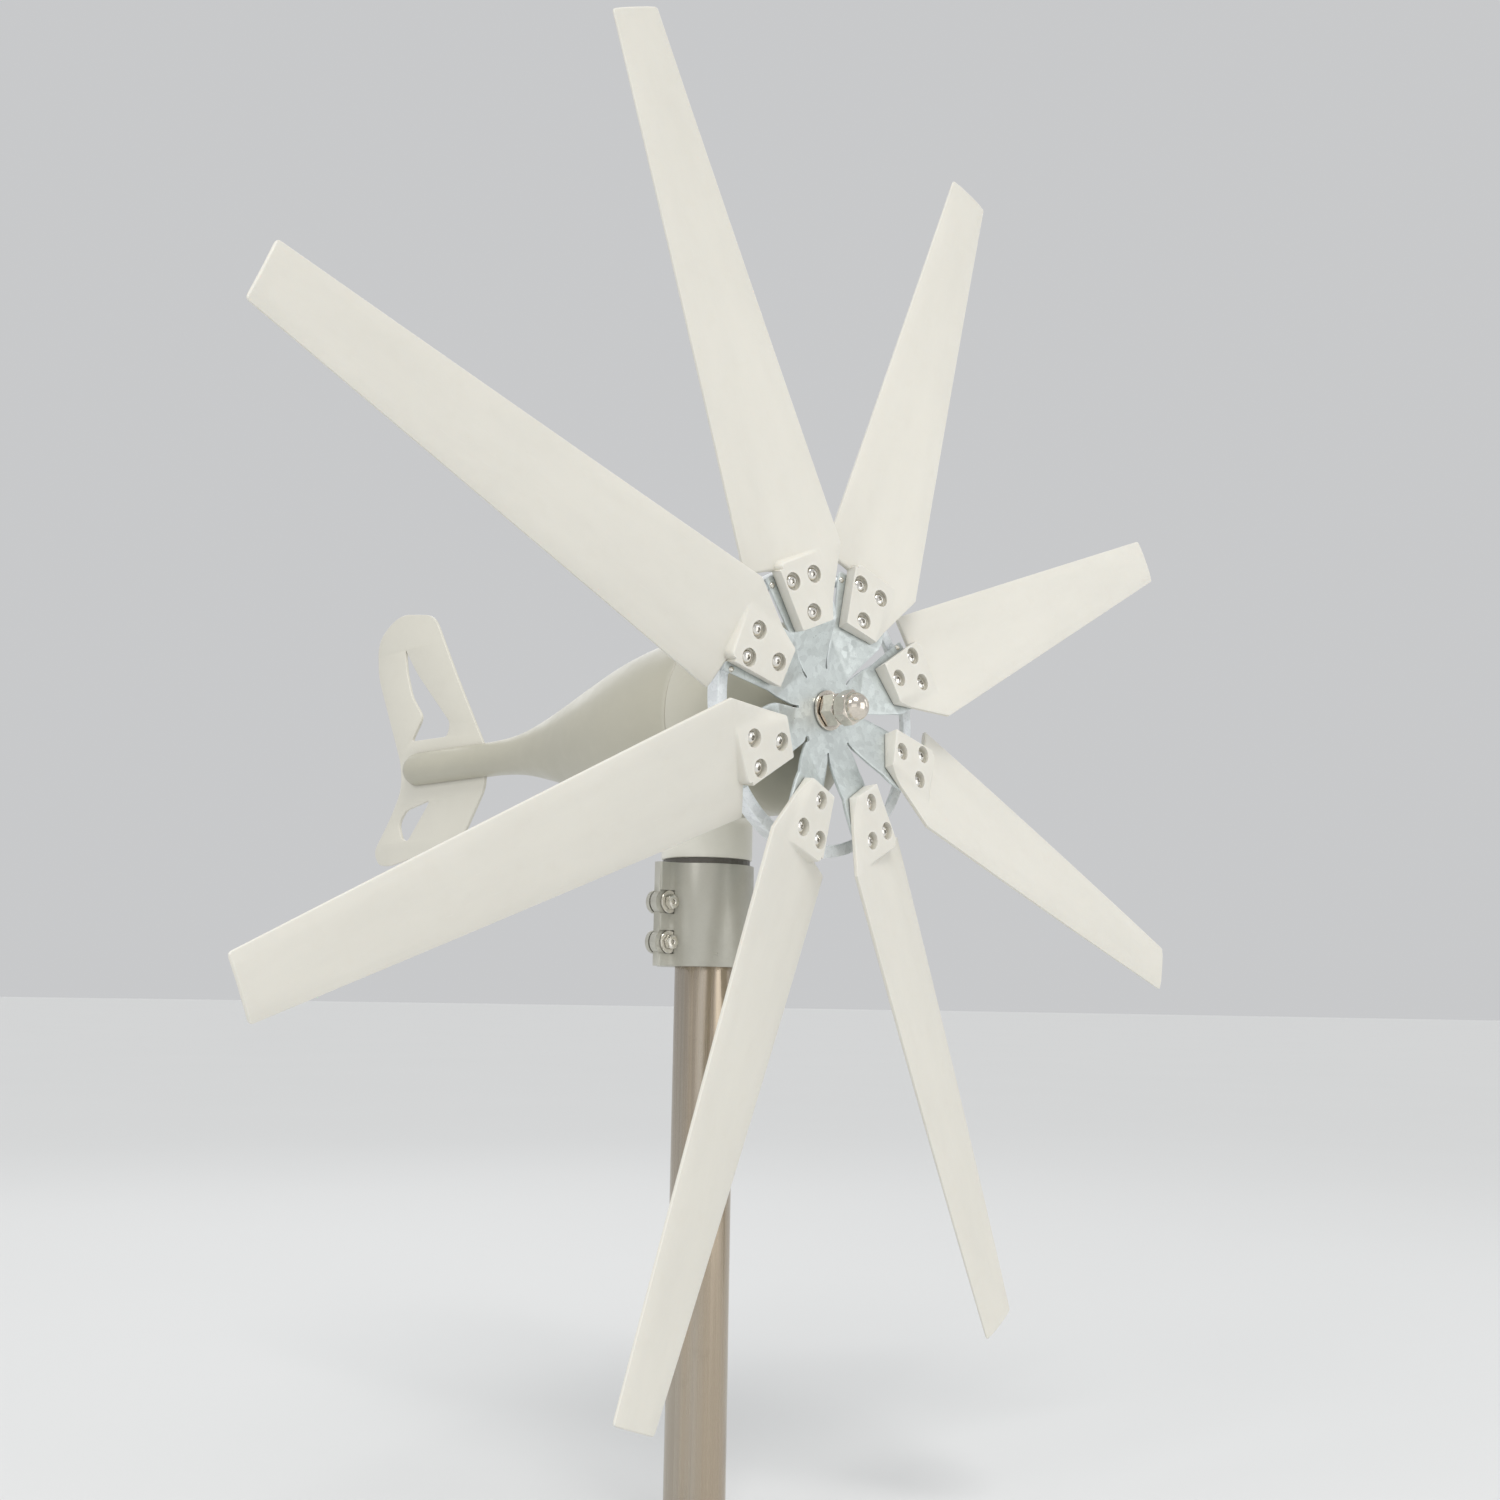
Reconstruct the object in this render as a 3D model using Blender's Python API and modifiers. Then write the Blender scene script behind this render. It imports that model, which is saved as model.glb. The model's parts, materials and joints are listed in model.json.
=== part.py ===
"""Horizontal-axis micro wind generator: eight-blade rotor, nacelle with tail fin, yaw neck, split clamp and mast.

Metres, +Z up. The origin is the centre of the mast's cut foot. The rotor faces +X and the mast stands on Z.
"""

from math import cos, pi, radians, sin, sqrt

import bmesh
import bpy

# ---- Driving dimensions ------------------------------------------------------------------------------------
GAP = 0.0003  # clearance kept between touching pieces

HUB_HEIGHT = 0.800  # rotor axis above the cut foot of the mast
ROTOR_OVERHANG = 0.160  # front face of the hub plate ahead of the mast axis
TIP_RADIUS = 0.660
BLADE_COUNT = 8
FIRST_BLADE_ANGLE = radians(160)  # from +Y towards +Z

ROOT_RADIUS = 0.083  # inner end of a blade
SHOULDER_RADIUS = 0.150  # where a blade is widest
STEP_RADIUS = 0.1435  # where the trailing edge steps out to the full width
ROOT_LEADING = -0.021  # offsets of the root's edges, positive towards the trailing side
ROOT_TRAILING = 0.019
STEP_TRAILING = 0.026
SHOULDER_HALF_CHORD = 0.057
TIP_HALF_CHORD = 0.0265
ROOT_PITCH = radians(16)
TIP_PITCH = radians(6)
BLADE_THICKNESS = 0.005
TIP_THICKNESS = 0.0032
TIP_SWEEP = 0.006  # the tip's shift towards the leading side
TIP_FORWARD = 0.002
PAD_HEIGHT = 0.011  # raised boss at the blade's root, above the plate, at its trailing edge
PAD_ROOT_SLOPE = 0.12  # how steeply the boss thins towards the leading side, at its inner end
PAD_OUTER_SLOPE = 0.20
SEAT_DEPTH = 0.0035  # recess of a bolt's head below the boss's face
PAD_OUTER_RADIUS = 0.152
BLADE_BOLTS = ((0.096, 0.0), (0.130, -0.014), (0.130, 0.014))  # radius, offset towards the trailing side

ARM_FOLD_OFFSET = 0.028  # where a folded arm crosses the plate's plane
ARM_LENGTH = 0.1405
DISC_RADIUS = 0.046
PLATE_THICKNESS = 0.003
SHAFT_HOLE_RADIUS = 0.0103

RING_RADIUS = 0.141
RING_INNER_RADIUS = 0.129
RING_SHEET = 0.002
RING_DEPTH = 0.014
RING_OFFSET = -0.0085  # front face of the ring behind the plate's front face

NUT_FLATS = 0.030
HOUSING_RADIUS = 0.096
HOUSING_FRONT = -0.030
SEAM = -0.126  # joint between the front housing and the nacelle
BORE_RADIUS = 0.0804
BOOM_RADIUS = 0.0205
BOOM_END = -0.690
SHAFT_SEAT_RADIUS = 0.0125
STATOR_FRONT = -0.068
STATOR_REAR = -0.108

NECK_RADIUS = 0.046
NECK_BOTTOM = -0.137  # below the rotor axis
SLEEVE_RADIUS = 0.048
SLEEVE_TOP = -0.143
SLEEVE_BOTTOM = -0.244
MAST_RADIUS = 0.030
MAST_WALL = 0.003
MAST_TOP = -0.160
EAR_REACH = 0.076
EAR_THICKNESS = 0.009
SLIT = 0.004
CLAMP_BOLT_LEVELS = (-0.182, -0.221)
CLAMP_BOLT_REACH = 0.061

FIN_THICKNESS = 0.004

# ---- Scene -------------------------------------------------------------------------------------------------
for old in list(bpy.data.objects):
    bpy.data.objects.remove(old, do_unlink=True)

turbine = bpy.data.collections.new("small_wind_turbine")
cutters = bpy.data.collections.new("cutters")
bpy.context.scene.collection.children.link(turbine)
bpy.context.scene.collection.children.link(cutters)


def empty(name, location, rotation=(0, 0, 0), parent=None):
    frame = bpy.data.objects.new(name, None)
    frame.location = location
    frame.rotation_euler = rotation
    frame.parent = parent
    turbine.objects.link(frame)
    return frame


mast_frame = empty("mast_frame", (0, 0, 0))
# The yaw frame sits on the mast's axis, level with the rotor axis.
yaw_axis = empty("yaw_axis", (0, 0, HUB_HEIGHT), parent=mast_frame)
# The rotor frame's Z runs forward along the rotor's axis, from the hub plate's front face.
rotor_axis = empty("rotor_axis", (ROTOR_OVERHANG, 0, 0), (0, pi / 2, 0), parent=yaw_axis)
# Fixed pieces around the shaft use the same frame, which turns with the nacelle only.
generator_axis = empty("generator_axis", (ROTOR_OVERHANG, 0, 0), (0, pi / 2, 0), parent=yaw_axis)


def material(name, colour, metallic, roughness):
    made = bpy.data.materials.new(name)
    made.use_nodes = True
    shader = made.node_tree.nodes["Principled BSDF"]
    shader.inputs["Base Color"].default_value = (*colour, 1)
    shader.inputs["Metallic"].default_value = metallic
    shader.inputs["Roughness"].default_value = roughness
    made.diffuse_color = (*colour, 1)
    return made


NYLON = (0.74, 0.73, 0.68)
ZINC = (0.48, 0.55, 0.56)
STEEL = (0.62, 0.60, 0.57)
PAINT = (0.50, 0.48, 0.41)
GREY = (0.36, 0.35, 0.30)


# ---- Tools -------------------------------------------------------------------------------------------------
def place(name, mesh, parent, colour, metallic, roughness, location=(0, 0, 0), rotation=(0, 0, 0)):
    """Adds an object for one sub-part, with its own material."""
    obj = bpy.data.objects.new(name, mesh)
    obj.location = location
    obj.rotation_euler = rotation
    obj.parent = parent
    turbine.objects.link(obj)
    if not mesh.materials:
        mesh.materials.append(None)
    obj.material_slots[0].link = "OBJECT"
    obj.material_slots[0].material = material(name + "_material", colour, metallic, roughness)
    return obj


def make_cutter(obj):
    turbine.objects.unlink(obj)
    cutters.objects.link(obj)
    obj.hide_render = True
    obj.display_type = "WIRE"
    return obj


def boolean(obj, other, operation="DIFFERENCE"):
    modifier = obj.modifiers.new(operation.lower() + "_" + other.name, "BOOLEAN")
    modifier.object = other
    modifier.operation = operation
    modifier.solver = "EXACT"


def smooth(mesh, angle=35):
    mesh.shade_smooth()
    mesh.set_sharp_from_angle(angle=radians(angle))


def signed_area(points):
    total = 0
    for (ax, ay), (bx, by) in zip(points, points[1:] + points[:1]):
        total += ax * by - bx * ay
    return total / 2


def profile_mesh(name, points, closed):
    """A wire in the XZ plane at +X. It runs down its outer side, so the turned faces point out."""
    if closed and signed_area(points) > 0:
        points = points[::-1]
    if not closed and points[0][1] < points[-1][1]:
        points = points[::-1]
    mesh = bpy.data.meshes.new(name)
    bm = bmesh.new()
    verts = [bm.verts.new((radius, 0, height)) for radius, height in points]
    for first, second in zip(verts, verts[1:]):
        bm.edges.new((first, second))
    if closed:
        bm.edges.new((verts[-1], verts[0]))
    bm.to_mesh(mesh)
    bm.free()
    return mesh


def turned(name, points, parent, look, steps=32, closed=True, location=(0, 0, 0), rotation=(0, 0, 0)):
    """A turned piece: (radius, height) points swept round the parent's Z axis."""
    obj = place(name, profile_mesh(name, points, closed), parent, *look, location, rotation)
    screw = obj.modifiers.new("screw", "SCREW")
    screw.axis = "Z"
    screw.angle = 2 * pi
    screw.steps = steps
    screw.render_steps = steps
    screw.use_merge_vertices = not closed
    screw.merge_threshold = 0.00001
    screw.use_smooth_shade = True
    return obj


def ring(name, inner, outer, bottom, top, parent, look, steps=32):
    points = [(outer, top), (outer, bottom), (inner, bottom), (inner, top)]
    return turned(name, points, parent, look, steps)


def rod(name, radius, bottom, top, parent, steps=16, location=(0, 0, 0), rotation=(0, 0, 0)):
    """A cylinder used as a cutter."""
    mesh = bpy.data.meshes.new(name)
    bm = bmesh.new()
    bmesh.ops.create_cone(bm, cap_ends=True, segments=steps, radius1=radius, radius2=radius, depth=top - bottom)
    bmesh.ops.translate(bm, verts=bm.verts, vec=(0, 0, (top + bottom) / 2))
    bm.to_mesh(mesh)
    bm.free()
    obj = place(name, mesh, parent, ZINC, 1, 0.5, location, rotation)
    return make_cutter(obj)


def block_mesh(name, low, high):
    mesh = bpy.data.meshes.new(name)
    bm = bmesh.new()
    bmesh.ops.create_cube(bm, size=1)
    for vert in bm.verts:
        vert.co = [(low[i] + high[i]) / 2 + vert.co[i] * (high[i] - low[i]) for i in range(3)]
    bm.to_mesh(mesh)
    bm.free()
    return mesh


def loft_mesh(name, rings):
    """A closed skin through rings of equal point counts, capped at both ends."""
    mesh = bpy.data.meshes.new(name)
    bm = bmesh.new()
    rows = [[bm.verts.new(point) for point in points] for points in rings]
    count = len(rows[0])
    for lower, upper in zip(rows, rows[1:]):
        for i in range(count):
            j = (i + 1) % count
            bm.faces.new((lower[i], lower[j], upper[j], upper[i]))
    bm.faces.new(rows[0][::-1])
    bm.faces.new(rows[-1])
    bmesh.ops.recalc_face_normals(bm, faces=bm.faces)
    if bm.calc_volume(signed=True) < 0:
        bmesh.ops.reverse_faces(bm, faces=bm.faces)
    bm.to_mesh(mesh)
    bm.free()
    return mesh


def prism(name, outline, depth, parent, look, holes=()):
    """A flat outline in the local XY plane, centred on that plane, with optional holes."""
    curve = bpy.data.curves.new(name, "CURVE")
    curve.dimensions = "2D"
    curve.fill_mode = "BOTH"
    curve.extrude = depth / 2
    for loop in (outline, *holes):
        spline = curve.splines.new("POLY")
        spline.points.add(len(loop) - 1)
        for point, (x, y) in zip(spline.points, loop):
            point.co = (x, y, 0, 1)
        spline.use_cyclic_u = True
    source = bpy.data.objects.new(name + "_outline", curve)
    turbine.objects.link(source)
    bpy.context.view_layer.update()
    graph = bpy.context.evaluated_depsgraph_get()
    mesh = bpy.data.meshes.new_from_object(source.evaluated_get(graph))
    bpy.data.objects.remove(source)
    mesh.name = name
    bm = bmesh.new()
    bm.from_mesh(mesh)
    bmesh.ops.remove_doubles(bm, verts=bm.verts, dist=0.00001)
    bmesh.ops.recalc_face_normals(bm, faces=bm.faces)
    bm.to_mesh(mesh)
    bm.free()
    mesh.materials.clear()
    return place(name, mesh, parent, *look)


def hexagon(flats, count=12):
    """Distances from the centre to a hexagon's outline, at count even angles, corners included."""
    reach = []
    for i in range(count):
        turn = (2 * pi * i / count) % (pi / 3) - pi / 6
        reach.append(flats / 2 / cos(turn))
    return reach


def bolt_mesh(name, rows, count=12):
    """A fastener lofted along Z: each row is (height, radius) or (height, list of radii)."""
    rings = []
    for height, reach in rows:
        radii = reach if isinstance(reach, list) else [reach] * count
        ring_points = []
        for i in range(count):
            turn = 2 * pi * i / count
            ring_points.append((radii[i] * cos(turn), radii[i] * sin(turn), height))
        rings.append(ring_points)
    return loft_mesh(name, rings)


def rounded(points, radius, steps=4):
    """The outline with each corner replaced by an arc."""
    result = []
    count = len(points)
    for i in range(count):
        px, py = points[i - 1]
        cx, cy = points[i]
        nx, ny = points[(i + 1) % count]
        before = sqrt((px - cx) ** 2 + (py - cy) ** 2)
        after = sqrt((nx - cx) ** 2 + (ny - cy) ** 2)
        reach = min(radius, before * 0.42, after * 0.42)
        ax, ay = cx + (px - cx) / before * reach, cy + (py - cy) / before * reach
        bx, by = cx + (nx - cx) / after * reach, cy + (ny - cy) / after * reach
        for k in range(steps + 1):
            t = k / steps
            result.append(
                (
                    (1 - t) ** 2 * ax + 2 * t * (1 - t) * cx + t**2 * bx,
                    (1 - t) ** 2 * ay + 2 * t * (1 - t) * cy + t**2 * by,
                )
            )
    return result


# ---- Blades ------------------------------------------------------------------------------------------------
# A blade's local X runs out along the radius, Z runs forward and Y towards the trailing side.
ARM_CENTRE_RISE = ARM_FOLD_OFFSET * sin(ROOT_PITCH)
BLADE_ROOT_RISE = ARM_CENTRE_RISE + GAP + BLADE_THICKNESS / 2
SECTION_STATIONS = (-0.5, -0.4, 0.0, 0.4, 0.5)
THICKNESS_SHARE = (0.45, 0.9, 1.0, 0.9, 0.5)


def share(radius):
    """0 up to the shoulder, then 1 at the tip."""
    return max(0, (radius - SHOULDER_RADIUS) / (TIP_RADIUS - SHOULDER_RADIUS))


def blade_edges(radius):
    """Offsets of the leading and the trailing edge. The root tapers in evenly on the leading side only."""
    if radius >= SHOULDER_RADIUS:
        half = SHOULDER_HALF_CHORD + (TIP_HALF_CHORD - SHOULDER_HALF_CHORD) * share(radius)
        return -half, half
    t = (radius - ROOT_RADIUS) / (SHOULDER_RADIUS - ROOT_RADIUS)
    leading = ROOT_LEADING - (SHOULDER_HALF_CHORD + ROOT_LEADING) * t
    t = (radius - ROOT_RADIUS) / (STEP_RADIUS - ROOT_RADIUS)
    return leading, ROOT_TRAILING + (STEP_TRAILING - ROOT_TRAILING) * t


def blade_point(radius, offset, lift):
    """A point at this offset towards the trailing side and this height above the blade's middle surface."""
    t = share(radius)
    pitch = ROOT_PITCH + (TIP_PITCH - ROOT_PITCH) * t
    rise = BLADE_ROOT_RISE + (TIP_FORWARD - BLADE_ROOT_RISE) * t
    y = offset * cos(pitch) + lift * sin(pitch) - TIP_SWEEP * t
    z = -offset * sin(pitch) + lift * cos(pitch) + rise
    return radius, y, z


def blade_section(radius, trim=0.0):
    t = share(radius)
    leading, trailing = blade_edges(radius)
    middle_offset = (leading + trailing) / 2
    half = (trailing - leading) / 2 - trim
    thickness = BLADE_THICKNESS + (TIP_THICKNESS - BLADE_THICKNESS) * t
    camber = 0.035 * min(1, t * 4) * half
    front = []
    back = []
    for station, part in zip(SECTION_STATIONS, THICKNESS_SHARE):
        middle = camber * (1 - (2 * station) ** 2)
        offset = middle_offset + 2 * half * station
        front.append(blade_point(radius, offset, middle + thickness / 2 * part))
        back.append(blade_point(radius, offset, middle - thickness / 2))
    return front + back[::-1]


blade_radii = (ROOT_RADIUS, STEP_RADIUS, SHOULDER_RADIUS, 0.20, 0.30, 0.42, 0.54, TIP_RADIUS - 0.005)
blade_rings = [blade_section(radius) for radius in blade_radii]
blade_rings.append(blade_section(TIP_RADIUS, trim=0.004))
blade_mesh = loft_mesh("blade", blade_rings)
smooth(blade_mesh, 30)


# The pad stands flush with the root's inner and trailing edges, and slopes down to the leading edge.
PAD_FOOT = (
    (ROOT_RADIUS + 0.0001, ROOT_LEADING + 0.0008),
    (ROOT_RADIUS + 0.0001, ROOT_TRAILING - 0.0005),
    (PAD_OUTER_RADIUS - 0.0095, STEP_TRAILING - 0.0008),
    (PAD_OUTER_RADIUS - 0.0005, 0.0210),
    (PAD_OUTER_RADIUS + 0.0010, -0.0260),
    (PAD_OUTER_RADIUS - 0.0180, -0.0400),
)
PAD_TOP = (
    (ROOT_RADIUS + 0.0025, ROOT_LEADING + 0.0030),
    (ROOT_RADIUS + 0.0025, ROOT_TRAILING - 0.0022),
    (PAD_OUTER_RADIUS - 0.0110, STEP_TRAILING - 0.0024),
    (PAD_OUTER_RADIUS - 0.0045, 0.0200),
    (PAD_OUTER_RADIUS - 0.0040, -0.0200),
    (PAD_OUTER_RADIUS - 0.0130, -0.0255),
)


PAD_FACE = BLADE_THICKNESS / 2 + PAD_HEIGHT


def pad_lift(radius, offset):
    """Height of the pad's sloping face above the blade's middle surface."""
    t = (radius - ROOT_RADIUS) / (PAD_OUTER_RADIUS - ROOT_RADIUS)
    slope = PAD_ROOT_SLOPE + (PAD_OUTER_SLOPE - PAD_ROOT_SLOPE) * t
    return PAD_FACE - (STEP_TRAILING - offset) * slope


pad_foot = [blade_point(radius, offset, 0) for radius, offset in PAD_FOOT]
pad_top = [blade_point(radius, offset, pad_lift(radius, offset)) for radius, offset in PAD_TOP]
pad_cutter = place("blade_pad", loft_mesh("blade_pad", [pad_foot, pad_top]), rotor_axis, NYLON, 0, 0.5)
make_cutter(pad_cutter)

blade_hole_cutters = []
for number, (radius, offset) in enumerate(BLADE_BOLTS):
    middle = blade_point(radius, offset, 0)
    floor = pad_lift(radius, offset) - SEAT_DEPTH
    hole_rows = [(-0.02, 0.0044), (floor, 0.0044), (floor + 0.0001, 0.0088), (floor + 0.01, 0.0088)]
    hole = bolt_mesh(f"blade_hole_{number}", hole_rows, count=8)
    cutter = place(f"blade_hole_{number}", hole, rotor_axis, STEEL, 1, 0.4, middle, (-ROOT_PITCH, 0, 0))
    blade_hole_cutters.append(make_cutter(cutter))


def evaluated_mesh(obj, name):
    """The object's mesh with its modifiers applied, in the parent's frame."""
    bpy.context.view_layer.update()
    graph = bpy.context.evaluated_depsgraph_get()
    mesh = bpy.data.meshes.new_from_object(obj.evaluated_get(graph))
    mesh.name = name
    return mesh


blade_source = place("blade_source", blade_mesh, rotor_axis, NYLON, 0, 0.5)
boolean(blade_source, pad_cutter, "UNION")
for cutter in blade_hole_cutters:
    boolean(blade_source, cutter)
finished_blade = evaluated_mesh(blade_source, "finished_blade")
finished_blade.materials.clear()
smooth(finished_blade, 30)
bpy.data.objects.remove(blade_source)

blade_look = (NYLON, 0.0, 0.5)
blade_angles = []
for number in range(BLADE_COUNT):
    angle = FIRST_BLADE_ANGLE - 2 * pi * number / BLADE_COUNT
    turn = angle + pi / 2
    blade_angles.append(turn)
    place(f"blade_{number + 1}", finished_blade, rotor_axis, *blade_look, rotation=(0, 0, turn))

# Each dome-headed bolt carries its nut behind the arm.
NUT_SEAT = -BLADE_THICKNESS / 2 - GAP - PLATE_THICKNESS - GAP
for letter, (radius, offset) in zip("abc", BLADE_BOLTS):
    seat = pad_lift(radius, offset) - SEAT_DEPTH + GAP
    shared = bolt_mesh(
        f"blade_bolt_{letter}",
        [
            (NUT_SEAT - 0.0065, hexagon(0.013)),
            (NUT_SEAT, hexagon(0.013)),
            (NUT_SEAT + 0.0001, 0.004),
            (seat, 0.004),
            (seat + 0.0001, 0.0066),
            (seat + 0.0042, 0.0032),
        ],
    )
    smooth(shared, 50)
    x, y, z = blade_point(radius, offset, 0)
    for number, turn in enumerate(blade_angles):
        spot_at = (x * cos(turn) - y * sin(turn), x * sin(turn) + y * cos(turn), z)
        name = f"blade_bolt_{number + 1}{letter}"
        place(name, shared, rotor_axis, STEEL, 1.0, 0.25, spot_at, (-ROOT_PITCH, 0, turn))

# ---- Hub plate: a disc whose eight arms are folded up along their trailing sides ------------------------------
hub_mesh = bpy.data.meshes.new("hub_plate")
bm = bmesh.new()
STEP_ANGLE = 2 * pi / BLADE_COUNT


def arm_rise(offset, radius):
    """Height of the folded arm's front face. The fold fades in between the disc and the blade's root."""
    fade = min(1, max(0, (radius - DISC_RADIUS) / 0.024))
    return (ARM_FOLD_OFFSET - offset) * sin(ROOT_PITCH) * fade


def arm_y(offset, radius):
    fade = min(1, max(0, (radius - DISC_RADIUS) / 0.024))
    return offset * (1 - (1 - cos(ROOT_PITCH)) * fade)


# Radius, then the offsets of an arm's leading and trailing edges.
arm_stations = (
    (0.0475, -0.0170, 0.0170),
    (0.0580, -0.0218, 0.0190),
    (0.0700, -0.0270, 0.0212),
    (0.0900, -0.0340, 0.0246),
    (0.1280, -0.0325, 0.0313),
    (ARM_LENGTH, -0.0300, 0.0322),
)
hole_steps = 2
for number in range(BLADE_COUNT):
    turn = blade_angles[number]

    def spot(x, y, z=0.0):
        return bm.verts.new((x * cos(turn) - y * sin(turn), x * sin(turn) + y * cos(turn), z))

    inner = []
    outer = []
    for step in range(hole_steps + 1):
        part = -STEP_ANGLE / 2 + STEP_ANGLE * step / hole_steps
        inner.append(spot(SHAFT_HOLE_RADIUS * cos(part), SHAFT_HOLE_RADIUS * sin(part)))
        outer.append(spot(DISC_RADIUS * cos(part), DISC_RADIUS * sin(part)))
    for step in range(hole_steps):
        bm.faces.new((inner[step], outer[step], outer[step + 1], inner[step + 1]))
    previous = outer
    for radius, leading, trailing in arm_stations:
        row = []
        for step in range(hole_steps + 1):
            offset = leading + (trailing - leading) * step / hole_steps
            row.append(spot(radius, arm_y(offset, radius), arm_rise(offset, radius)))
        for step in range(hole_steps):
            bm.faces.new((previous[step], row[step], row[step + 1], previous[step + 1]))
        previous = row
bmesh.ops.remove_doubles(bm, verts=bm.verts, dist=0.00002)
bmesh.ops.recalc_face_normals(bm, faces=bm.faces)
if sum(face.normal.z for face in bm.faces) < 0:
    bmesh.ops.reverse_faces(bm, faces=bm.faces)
bm.to_mesh(hub_mesh)
bm.free()
hub_plate = place("hub_plate", hub_mesh, rotor_axis, ZINC, 0.9, 0.45)
sheet = hub_plate.modifiers.new("sheet", "SOLIDIFY")
sheet.thickness = PLATE_THICKNESS
sheet.offset = -1
sheet.use_even_offset = True

arm_hole_mesh = bolt_mesh("arm_hole", [(-0.02, 0.0047), (0.004, 0.0047)], count=6)
arm_holes = []
for number, turn in enumerate(blade_angles):
    for letter, (radius, offset) in zip("abc", BLADE_BOLTS):
        x, y, z = blade_point(radius, offset, 0)
        spot_at = (x * cos(turn) - y * sin(turn), x * sin(turn) + y * cos(turn), z)
        name = f"arm_hole_{number + 1}{letter}"
        hole = place(name, arm_hole_mesh, rotor_axis, ZINC, 1, 0.5, spot_at, (-ROOT_PITCH, 0, turn))
        arm_holes.append(make_cutter(hole))
arm_hole_set = bpy.data.collections.new("arm_holes")
cutters.children.link(arm_hole_set)
for hole in arm_holes:
    cutters.objects.unlink(hole)
    arm_hole_set.objects.link(hole)
arm_drill = hub_plate.modifiers.new("arm_drill", "BOOLEAN")
arm_drill.operand_type = "COLLECTION"
arm_drill.collection = arm_hole_set
arm_drill.operation = "DIFFERENCE"
arm_drill.solver = "EXACT"

# ---- Hub ring: a flanged hoop behind the arms, with a dimple under each arm's trailing side ----------------------
ring_points = [
    (RING_RADIUS, RING_OFFSET),
    (RING_RADIUS, RING_OFFSET - RING_DEPTH),
    (RING_RADIUS - RING_SHEET, RING_OFFSET - RING_DEPTH),
    (RING_RADIUS - RING_SHEET, RING_OFFSET - RING_SHEET),
    (RING_INNER_RADIUS, RING_OFFSET - RING_SHEET),
    (RING_INNER_RADIUS, RING_OFFSET),
]
hub_ring = turned("hub_ring", ring_points, rotor_axis, (ZINC, 0.9, 0.42), steps=40)
DIMPLE_RADIUS = 0.1345
DIMPLE_OFFSET = 0.0235
dimple_top = arm_rise(DIMPLE_OFFSET, 0.13) - PLATE_THICKNESS / cos(ROOT_PITCH) - 0.0016
for number, turn in enumerate(blade_angles):
    x, y = DIMPLE_RADIUS, arm_y(DIMPLE_OFFSET, 0.13)
    x = sqrt(DIMPLE_RADIUS**2 - y**2)
    post = bolt_mesh(f"ring_post_{number + 1}", [(RING_OFFSET - 0.001, 0.0038), (dimple_top, 0.0028)], count=8)
    spot_at = (x * cos(turn) - y * sin(turn), x * sin(turn) + y * cos(turn), 0)
    post_object = place(f"ring_post_{number + 1}", post, rotor_axis, ZINC, 1, 0.5, spot_at)
    boolean(hub_ring, make_cutter(post_object), "UNION")

# ---- Shaft end: washer, hexagon nut, dome nut --------------------------------------------------------------------
steel_look = (STEEL, 1.0, 0.22)
ring("hub_washer", SHAFT_HOLE_RADIUS, 0.0195, GAP, 0.0033, rotor_axis, steel_look, 24)


def nut(name, rows, bore_bottom, bore_top):
    obj = place(name, bolt_mesh(name, rows, count=12), rotor_axis, *steel_look)
    bore = rod(name + "_bore", SHAFT_HOLE_RADIUS, bore_bottom, bore_top, rotor_axis, steps=16)
    boolean(obj, bore)
    return obj


corner = hexagon(NUT_FLATS)
eased = [min(reach, NUT_FLATS * 0.525) for reach in corner]
nut("hub_nut", [(0.0036, eased), (0.0048, corner), (0.0184, corner), (0.0196, eased)], -0.01, 0.03)
dome_rows = [(0.0199, eased), (0.0211, corner), (0.0322, corner), (0.0334, eased)]
DOME_RADIUS = 0.0142
for step in range(0, 4):
    lift = step * pi / 2 / 4
    dome_rows.append((0.0336 + DOME_RADIUS * sin(lift), DOME_RADIUS * cos(lift)))
dome_rows.append((0.0336 + DOME_RADIUS, 0.0018))
nut("dome_nut", dome_rows, -0.01, 0.0395)

# ---- Shaft, bearings and generator ------------------------------------------------------------------------------
shaft_points = [
    (0, 0.0385),
    (0.0088, 0.0385),
    (0.0100, 0.0372),
    (0.0100, -0.0033),
    (0.0170, -0.0033),
    (0.0170, -0.0380),
    (SHAFT_SEAT_RADIUS, -0.0385),
    (SHAFT_SEAT_RADIUS, -0.1385),
    (0, -0.1385),
]
turned("main_shaft", shaft_points, rotor_axis, (STEEL, 1.0, 0.3), 20, closed=False)


def bearing(name, rear, front, parent):
    """The outer race of a 25 x 52 x 15 mm ball bearing, and its inner race."""
    dark = ((0.55, 0.54, 0.52), 1.0, 0.25)
    outer = [(0.0258, front), (0.0258, rear), (0.0225, rear), (0.0225, front)]
    inner = [(0.0162, front), (0.0162, rear), (0.0128, rear), (0.0128, front)]
    turned(name + "_outer", outer, generator_axis, dark, 24)
    turned(name + "_inner", inner, parent, dark, 24)


bearing("front_bearing", -0.0575, -0.0425, rotor_axis)
bearing("rear_bearing", -0.1375, -0.1225, rotor_axis)

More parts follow.
